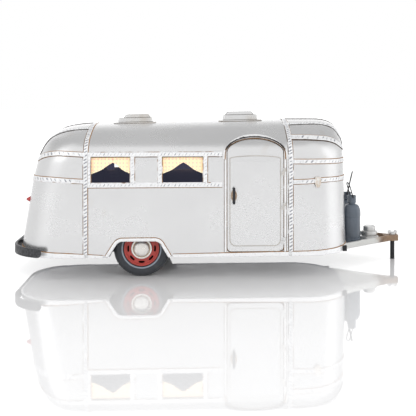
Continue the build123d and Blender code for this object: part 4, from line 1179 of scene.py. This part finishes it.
class CARAVAN_OT_door(bpy.types.Operator):
    """Door leaf with its pressed panel, its frame, stop, drip rail and handle"""

    bl_idname = "caravan.door"
    bl_label = "Door"

    def execute(self, context):
        leaf = finish_piece("door_sheet", worked_copy("door_leaf", flat=0.0), "door", "body_silver",
                            ("door_leaf",), scale=False, smooth=30.0)
        leaf.modifiers.new("weighted", "WEIGHTED_NORMAL").keep_sharp = True
        self.press_panel()
        self.surround()
        self.drip_rail()
        plate_depth = -73.2
        handle = worked_copy("door_handle", bevel=0.35, flat=0.05)
        for face in handle.faces:
            face.material_index = 1 if face.calc_center_median().y > plate_depth * MM else 0
        finish_piece("door_lever", handle, "door", "handle_dark", ("door_handle",),
                     ("handle_dark", "plate_tan"), scale=False)
        return {"FINISHED"}

    def drip_rail(self):
        """Rail over the arched head, white above, with rust along its inner edge on the legs that turns to
        black painted shadow over the arch.
        """
        rail = worked_copy("door_drip_rail", bevel=0.75, flat=0.05, split=50.0)
        middle, half = (door_rear + door_front) / 2, (door_front - door_rear) / 2
        arch, rail_height, soot_height = 13.0, 14.0, 6.0
        edge, soot = [], []
        for vert in rail.verts:
            x, up = vert.co.x / MM - middle, vert.co.z / MM - door_spring
            reach = math.hypot(x / half, max(up, 0.0) / arch)
            inner = 1.09 + 0.085 * held(up / rail_height)
            edge.append(1.0 if reach < inner else 0.0)
            # painted shadow: nought at the legs, one over the arch
            soot.append(held((up + 0.8) / soot_height))
        mark_points(rail, edge=edge, soot=soot, dip=[0.0] * len(rail.verts))
        finish_piece("drip_rail", rail, "body", "strip_metal", ("door_drip_rail",), scale=False,
                     smooth=60.0)

    def press_panel(self):
        """Raised bead that frames the leaf's panel."""
        outline = door_outline(0.0, panel_foot, panel_spring, panel_head, panel_rear, panel_front, 6.0)
        place, length = path_place(outline, -1, closed=True)
        bm = formed_strip(lambda a, b: place(a, b, 0.45), length, 0.9, proud=0.62, depth=0.0, step=1.2,
                          rim=0.3)
        bmesh.ops.remove_doubles(bm, verts=bm.verts, dist=0.02)
        thicken(finish_piece("door_panel_bead", bm, "door", "body_silver", coats=("bead_grey",),
                             smooth=70.0), 0.2)

    def surround(self):
        """Frame round the opening, and the stop behind its gap."""
        middle, half = (door_rear + door_front) / 2, (door_front - door_rear) / 2
        foot, arch, reach = 25.0, 82.0, 0.8
        leg = door_spring - foot
        total = 2 * leg + arch

        def place(a, b):
            way = a * total
            out = (b + 1) / 2
            if way < leg or way > leg + arch:
                side = -1 if way < leg else 1
                z = foot + (way if way < leg else total - way)
                narrow = held((z - 114.5) / 3.0)
                return side_point(middle + side * (half + reach + out * (2.0 - narrow)), z, -1)
            angle = math.pi * (1 - (way - leg) / arch)
            wide = half + reach + out
            inner, outer = 12.5 + reach, 15.0
            return side_point(middle + wide * math.cos(angle),
                              door_spring + (inner + (outer - inner) * out) * math.sin(angle), -1)

        # painted shadow: the frame's outer edge goes partly black
        bm = formed_strip(place, total, 2.0, proud=0.8, depth=0.0, step=1.0, rim=0.6, worn=(0.75, 0.75),
                          soot=(0.2, 0.6))
        thicken(finish_piece("door_surround", bm, "body", "strip_metal", ("door_frame",), smooth=60.0),
                0.25)
        outline = door_outline(0.4, door_foot, door_spring, door_head, door_rear, door_front, 4.0)
        stop, length = path_place(outline, -1, closed=True)
        # the stop goes black with painted shadow at its head, under the drip rail
        bm = flat_band(lambda a, b: stop(a, b, 1.6), length, -1.12)
        bmesh.ops.remove_doubles(bm, verts=bm.verts, dist=0.02)
        thicken(finish_piece("door_stop", bm, "body", "strip_metal"), 0.5)


# ---------------------------------------------------------------------- the curtains
class CARAVAN_OT_curtains(bpy.types.Operator):
    """Pairs of gathered cloth curtains, parted in the middle"""

    bl_idname = "caravan.curtains"
    bl_label = "Curtains"

    def execute(self, context):
        fold = context.scene.caravan_sizes.curtain_fold
        for name, x0, x1 in windows:
            low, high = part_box(f"right_{name}_curtain")
            peak = (x0 + x1) / 2 + (2.0 if name == "rear" else 0.6)
            face = (low.y + high.y) / 2 / MM
            for hand, outer in (("rear", x0 - 1.8), ("front", x1 + 1.8)):
                self.hang(f"right_{name}_{hand}", f"right_{name}_curtain", face, outer, peak, fold,
                          near_rise)
        for name, hand, outer, inner in (("rear", "rear", -122.7, -114.4), ("rear", "front", -80.2, -104.0),
                                         ("middle", "rear", -53.3, -30.8), ("middle", "front", -8.9, -31.4)):
            low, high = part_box(f"left_{name}_curtain")
            self.hang(f"left_{name}_{hand}", f"left_{name}_curtain", (low.y + high.y) / 2 / MM, outer, inner,
                      fold, 0.0)
        return {"FINISHED"}

    def hang(self, label, node, face, outer, inner, fold, rise):
        """One sheet gathered under the window head; rise lifts its foot towards the inner edge."""
        head, width = window_head - 0.9, abs(inner - outer)
        side = -1 if face < 0 else 1
        low = near_foot if rise else far_foot
        pleat, hem = 3.4, 0.14
        pitch = max(width / max(round(width / pleat), 2), 2.0)
        bm = grid_mesh(84, 28)
        seats = [(v.co.x + 0.5, v.co.y + 0.5) for v in bm.verts]
        uv = bm.loops.layers.uv.new("UVMap")
        for vert, (a, b) in zip(bm.verts, seats):
            foot = low + rise * a ** 1.2 + (0.35 * math.sin(3 * math.pi * a) if rise else 0.0)
            turn = 2 * math.pi * (a * width / pitch + 0.22 * noise.noise(Vector((a * 4, b * 1.4, outer))))
            deep = fold * (0.45 + 0.55 * (1 - b)) * math.sin(turn)
            vert.co = (outer + (inner - outer) * a + 0.16 * math.sin(2 * turn), face + side * deep,
                       foot + (head - foot) * b)
        bm.verts.index_update()
        for part in bm.faces:
            for loop in part.loops:
                a, b = seats[loop.vert.index]
                loop[uv].uv = (a * width * 1.12, (head - loop.vert.co.z))
        mark_points(bm, hem=[max(0.0, 1 - b / hem) if rise else 0.0 for a, b in seats])
        bmesh.ops.recalc_face_normals(bm, faces=bm.faces)
        if sum(f.normal.y * side for f in bm.faces) < 0:
            bmesh.ops.reverse_faces(bm, faces=bm.faces)
        area = sum(f.calc_area() for f in bm.faces) * MM * MM
        piece = thicken(finish_piece(f"curtain_{label}", bm, "body", "curtain", (node,), smooth=80.0),
                        0.15, 0.0)


# ------------------------------------------------------------------------ the wheels
class CARAVAN_OT_wheels(bpy.types.Operator):
    """Tyres with their ribs and bead, rims with slots, hubcaps, and the lips of the arches"""

    bl_idname = "caravan.wheels"
    bl_label = "Wheels"

    def execute(self, context):
        for hand, side, way in (("right", -1, "near"), ("left", 1, "far")):
            self.tyre(hand, way, context.scene.caravan_sizes.tread_ribs)
            self.rim(hand, way)
            self.slots(hand, side)
            self.hubcap(hand, way)
            self.arch_lip(hand, side)
        return {"FINISHED"}

    def tyre(self, hand, way, groove):
        """Tyre with four grooves, a line round its wall and a raised bead."""
        face, back = tyre_face, tyre_face - tyre_width
        first, pitch = 3.6, 1.95
        tread = []
        for i in range(4):
            mid = back + first + i * pitch
            tread += [(tyre_radius - 0.02, mid - 0.45), (tyre_radius - groove, mid - 0.25),
                      (tyre_radius - groove, mid + 0.25), (tyre_radius - 0.02, mid + 0.45)]
        inner = [(17.55, back), (19.0, back + 0.15), (23.5, back), (25.2, back + 0.5), (26.9, back + 1.9),
                 (27.4, back + 3.0)]
        outer = [(27.4, face - 2.6), (26.9, face - 1.6), (25.7, face - 0.55), (25.2, face - 0.32),
                 (25.0, face - 0.55), (24.6, face - 0.2), (22.4, face), (20.4, face - 0.12),
                 (20.0, face - 0.5), (19.6, face - 0.12), (18.6, face - 0.35), (17.9, face - 1.15),
                 (17.55, face - 2.2)]
        profile = rounded(inner + tread + outer + inner[:1], 0.5, 3)
        finish_piece(f"tyre_{hand}", turned(profile, axle, way, 128), f"{hand}_wheel", "tyre",
                     (f"{hand}_tyre",))

    def rim(self, hand, way):
        """Rim disc with a rolled edge and a pressed ring."""
        low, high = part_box(f"{hand}_rim")
        back = min(abs(low.y), abs(high.y)) / MM + 0.1
        disc = [(2.5, back), (17.5, back), (17.5, rim_face + 0.55), (17.1, rim_face + 0.8),
                (15.9, rim_face + 0.75), (15.4, rim_face + 0.1), (15.1, rim_face - 0.5),
                (14.6, rim_face - 0.35), (11.9, rim_face - 0.15), (11.4, rim_face + 0.15),
                (10.9, rim_face - 0.2), (9.0, rim_face - 0.2), (8.6, rim_face), (2.5, rim_face)]
        finish_piece(f"rim_{hand}_disc", turned(rounded(disc + disc[:1], 0.25, 3), axle, way, 128),
                     f"{hand}_wheel", "rim_red", (f"{hand}_rim",), smooth=50.0)

    def slots(self, hand, side):
        """Black slot shapes in a ring on the rim: painted shade standing for the dark of the slots' holes."""
        parts = []
        for i in range(slot_count):
            bm = grid_mesh(12, 3)
            for vert in bm.verts:
                ends = math.sqrt(max(1 - (2 * abs(vert.co.x)) ** 6, 0.05))
                turn = math.radians(360.0 / slot_count * i + vert.co.x * slot_arc)
                radius = slot_radius + vert.co.y * slot_width * ends
                vert.co = (axle_x + radius * math.sin(turn), side * (rim_face - 0.18),
                           axle_z + radius * math.cos(turn))
            bmesh.ops.solidify(bm, geom=bm.faces[:], thickness=0.3)
            bmesh.ops.recalc_face_normals(bm, faces=bm.faces)
            parts.append(bm)
        finish_piece(f"rim_slots_{hand}", join_meshes(parts), f"{hand}_wheel", "rim_red",
                     coats=("slot_shade_black",))

    def hubcap(self, hand, way):
        """Domed hubcap over the end of the axle."""
        seat = rim_face + 0.05
        cap = [(2.6, seat), (10.25, seat), (10.25, seat + 0.55), (9.9, seat + 0.9), (8.7, seat + 0.95),
               (8.3, seat + 0.62), (7.9, seat + 1.0), (7.2, seat + 2.15), (6.0, seat + 3.05),
               (4.2, seat + 3.75), (2.2, seat + 4.1), (0.0, seat + 4.2)]
        bore = [(0.0, seat + 1.75), (2.4, seat + 1.75), (2.6, seat)]
        finish_piece(f"hubcap_{hand}_dome", turned(bore + rounded(cap, 0.5, 4), axle, way, 96),
                     f"{hand}_wheel", "hubcap", (f"{hand}_hubcap",), smooth=50.0)

    def arch_lip(self, hand, side):
        """Pressed lip round the wheel arch."""
        place, length = path_place(rounded(arch_line, 4.6, 8), side, 1.3)
        lip = formed_strip(lambda a, b: place(a, b, 1.3), length, 2.6, proud=1.0, depth=0.0, step=0.8,
                           worn=(0.2, 1.0))
        thicken(finish_piece(f"arch_lip_{hand}", lip, "body", "strip_metal", (f"{hand}_wheel_arch",),
                             smooth=60.0), 0.3)


# --------------------------------------------------------------- the rear and the roof
class CARAVAN_OT_bumper(bpy.types.Operator):
    """Hammered bumper that wraps round the rear"""

    bl_idname = "caravan.bumper"
    bl_label = "Bumper"

    def execute(self, context):
        depth = context.scene.caravan_sizes.hammer_depth
        rear, half, radius = -202.28, 76.9, 44.0
        low, high, thick, end = 21.6, 30.2, 2.6, -169.0
        first = math.asin((rear + radius - end) / radius)
        bend, wall = radius * (math.pi / 2 - first), 2 * (half - radius)
        total = 2 * bend + wall

        def line(s):
            """Outer line of the bumper in plan and its outward direction."""
            side = -1 if s < total / 2 else 1
            way = min(s, total - s)
            if way < bend:
                angle = first + way / radius
                out = Vector((-math.sin(angle), side * math.cos(angle), 0))
                return Vector((rear + radius, side * (half - radius), 0)) + out * radius, out
            return Vector((rear, side * (half - radius - way + bend), 0)), Vector((-1, 0, 0))

        section = rounded([(0, low + 0.1), (0, high), (thick, high), (thick, low), (0, low), (0, low + 0.1)],
                          0.9, 4)
        bm = grid_mesh(int(total / 0.9), 48)
        size = len(section) - 1
        for vert in bm.verts:
            s, q = (vert.co.x + 0.5) * total, (vert.co.y + 0.5) % 1.0
            spot = q * size
            i, t = int(spot) % size, spot - int(spot)
            inset = section[i][0] + (section[i + 1][0] - section[i][0]) * t
            height = section[i][1] + (section[i + 1][1] - section[i][1]) * t
            foot, out = line(s)
            dent = noise.noise(Vector((s * 0.42, height * 0.42 + 3, inset * 0.4)))
            keep = 1.0 if inset < 0.3 else 0.3
            tail = min(min(s, total - s) / 3.5, 1.0)
            squeeze = 0.5 + 0.5 * math.sqrt(1 - (1 - tail) ** 2)
            vert.co = foot - out * (inset + depth * keep * abs(dent) * 1.6)
            vert.co.z = (low + high) / 2 + (height - (low + high) / 2) * squeeze
        bmesh.ops.remove_doubles(bm, verts=bm.verts, dist=0.01)
        bmesh.ops.holes_fill(bm, edges=[e for e in bm.edges if e.is_boundary], sides=0)
        bmesh.ops.recalc_face_normals(bm, faces=bm.faces)
        finish_piece("bumper_bar", bm, "body", "charcoal_metal", ("rear_bumper",), smooth=50.0)
        return {"FINISHED"}


class CARAVAN_OT_roof(bpy.types.Operator):
    """Two stepped roof vents, with a recessed band under each tier whose dark brown is painted shade"""

    bl_idname = "caravan.roof"
    bl_label = "Roof vents"

    def execute(self, context):
        slope = math.atan2(caps["front"][1] - caps["rear"][1], front_seam - rear_seam)
        for name, flange, lower, upper, low, high in vents:
            middle = sum(flange) / 2
            box = ((flange, 0.15, 13.2, -0.5, 0.55, 0.1, 0.2), (lower, 0.0, 10.95, 0.95, low, 0.5, 0.9),
                   (upper, 0.0, 8.35, low + 0.35, high - 0.05, 2.4, 0.8))
            # recessed bands under the tiers, dark brown as painted shade
            shade_band = ((flange, 0.0, 13.4, -3.6, -0.4, 0.0, 0.2), (lower, 0.7, 10.3, -3.6, 1.2, 0.0, 0.2),
                     (upper, 0.6, 7.8, low - 0.6, low + 0.9, 0.0, 0.2))
            for part, tiers, finish in (("box", box, "vent_silver"), ("shade_band", shade_band, "gap_shade_brown")):
                bm = join_meshes([self.tier(middle, *tier) for tier in tiers])
                bmesh.ops.rotate(bm, cent=(0, 0, 0), matrix=Matrix.Rotation(-slope, 3, "Y"), verts=bm.verts)
                bmesh.ops.translate(bm, vec=(middle, 0, crest_at(middle)), verts=bm.verts)
                finish_piece(f"{name}_{part}", bm, "body", "body_silver", (name,), (finish,))
        return {"FINISHED"}

    def tier(self, middle, ends, inset, half, low, high, taper, soft):
        """One tier of a vent: a box with drawn-in top, rounded corners and softened rim."""
        x0, x1 = ends[0] + inset - middle, ends[1] - inset - middle
        bm = bmesh.new()
        bmesh.ops.create_cube(bm, size=1.0)
        bmesh.ops.scale(bm, vec=(x1 - x0, 2 * half, high - low), verts=bm.verts)
        tops = [v for v in bm.verts if v.co.z > 0]
        bmesh.ops.scale(bm, vec=(1 - 2 * taper / (x1 - x0), 1 - 0.2 * taper / half, 1), verts=tops)
        posts = [e for e in bm.edges if abs(e.verts[0].co.z - e.verts[1].co.z) > 0.5 * (high - low)]
        bmesh.ops.bevel(bm, geom=posts, offset=2.6, offset_type="OFFSET", affect="EDGES", segments=6,
                        profile=0.5, material=-1)
        bm.normal_update()
        if soft > 0.3:
            rim = []
            for edge in bm.edges:
                rises = [face.normal.z for face in edge.link_faces]
                if len(rises) == 2 and max(rises) > 0.9 and min(rises) < 0.8:
                    rim.append(edge)
            bmesh.ops.bevel(bm, geom=rim, offset=soft, offset_type="OFFSET", affect="EDGES", segments=4,
                            profile=0.5, material=-1)
        bmesh.ops.translate(bm, vec=((x0 + x1) / 2, 0, (low + high) / 2), verts=bm.verts)
        return bm


# ------------------------------------------------------------------ the hitch and cans
class CARAVAN_OT_hitch(bpy.types.Operator):
    """Drawbar, stepped cap, water cans, wing nut, belt clasp and hitch pin"""

    bl_idname = "caravan.hitch"
    bl_label = "Hitch and cans"

    def execute(self, context):
        finish_piece("drawbar_frame", worked_copy("drawbar", bevel=0.35, flat=0.05), "body", "worn_bronze",
                     ("drawbar",), scale=False)
        for hand, y in cans:
            self.can(hand, y)
        self.stepped_cap()
        for node, name, finish, slot in (("wing_nut", "wing_nut_cast", "plain_steel", "bare_metal"),
                                         ("belt_clasp", "belt_clasp_plate", "clasp_worn", "rusty_metal"),
                                         ("hitch_pin", "hitch_pin_turned", "black_metal", "black_metal")):
            finish_piece(name, worked_copy(node, bevel=0.3, flat=0.05), "body", slot, (node,),
                         (finish,), scale=False)
        return {"FINISHED"}

    def can(self, hand, y):
        """Water can: its well, rolled neck, shoulder, wall with two beads, and foot."""
        well = [(0.0, 55.0), (3.7, 55.0), (3.7, 70.7)]
        neck = [(3.85, 71.15), (4.3, 71.3), (4.6, 70.9), (4.6, 70.1), (4.45, 69.8), (4.45, 64.9),
                (4.6, 64.5), (4.6, 63.9), (4.3, 63.6), (3.8, 63.45), (3.8, 62.6)]
        shoulder = [(4.2, 62.3), (6.0, 61.7), (7.5, 60.1), (8.6, 57.4), (9.1, 54.6)]
        wall = [(9.2, 51.3), (9.2, 49.3), (8.95, 48.9), (8.95, 26.2), (9.05, 25.9), (9.2, 25.6), (9.2, 22.2)]
        foot = [(8.8, can_floor), (7.8, can_floor), (7.5, can_floor + 0.5), (0.0, can_floor + 0.5)]
        profile = rounded(well + neck + shoulder + wall + foot, 0.45, 3)
        finish_piece(f"water_can_{hand}", turned(profile, (can_x, y, 0.0), "z", 96), "body", "can_enamel",
                     (f"{hand}_can",), smooth=45.0)

    def stepped_cap(self):
        """Round cap in three tiers."""
        lower = [(0.0, 0.0), (10.4, 0.0), (10.35, 2.6), (9.9, 3.7), (8.5, 4.3)]
        middle = [(8.3, 4.7), (8.75, 5.3), (8.55, 8.7), (8.1, 9.5), (6.7, 9.9)]
        upper = [(6.3, 10.2), (6.6, 10.8), (6.5, 13.8), (6.1, 14.7), (5.2, 15.0), (4.8, 14.5), (0.0, 14.6)]
        profile = [(r, can_floor + h) for r, h in rounded(lower + middle + upper, 0.5, 3)]
        finish_piece("jockey_cap", turned(profile, (stepped_cap_x, 0.0, 0.0), "z", 96), "body",
                     "bare_metal", ("stepped_cap",), ("plain_steel",), smooth=45.0)


class CARAVAN_PT_panel(bpy.types.Panel):
    """Buttons of the building steps, then the finishes' colours and the sizes"""

    bl_idname = "CARAVAN_PT_panel"
    bl_label = "Tin caravan"
    bl_space_type = "VIEW_3D"
    bl_region_type = "UI"
    bl_category = "Caravan"

    def draw(self, context):
        for step in steps:
            self.layout.operator(step.bl_idname)
        for group in (context.scene.caravan_looks, context.scene.caravan_sizes):
            for key in group.bl_rna.properties.keys():
                if key not in ("rna_type", "name"):
                    self.layout.prop(group, key)


steps = (CARAVAN_OT_stage, CARAVAN_OT_finishes, CARAVAN_OT_shell, CARAVAN_OT_strips, CARAVAN_OT_door,
         CARAVAN_OT_curtains, CARAVAN_OT_wheels, CARAVAN_OT_bumper, CARAVAN_OT_roof, CARAVAN_OT_hitch)
classes = (CaravanLooks, CaravanSizes, *steps, CARAVAN_PT_panel)


def register():
    for item in classes:
        bpy.utils.register_class(item)
    bpy.types.Scene.caravan_looks = PointerProperty(type=CaravanLooks)
    bpy.types.Scene.caravan_sizes = PointerProperty(type=CaravanSizes)


def unregister():
    del bpy.types.Scene.caravan_sizes
    del bpy.types.Scene.caravan_looks
    for item in reversed(classes):
        bpy.utils.unregister_class(item)


def main():
    """Builds every piece in order."""
    register()
    for step in steps:
        group, name = step.bl_idname.split(".")
        if getattr(getattr(bpy.ops, group), name)() != {"FINISHED"}:
            raise RuntimeError(f"{step.bl_label} did not finish")


if __name__ == "__main__":
    main()
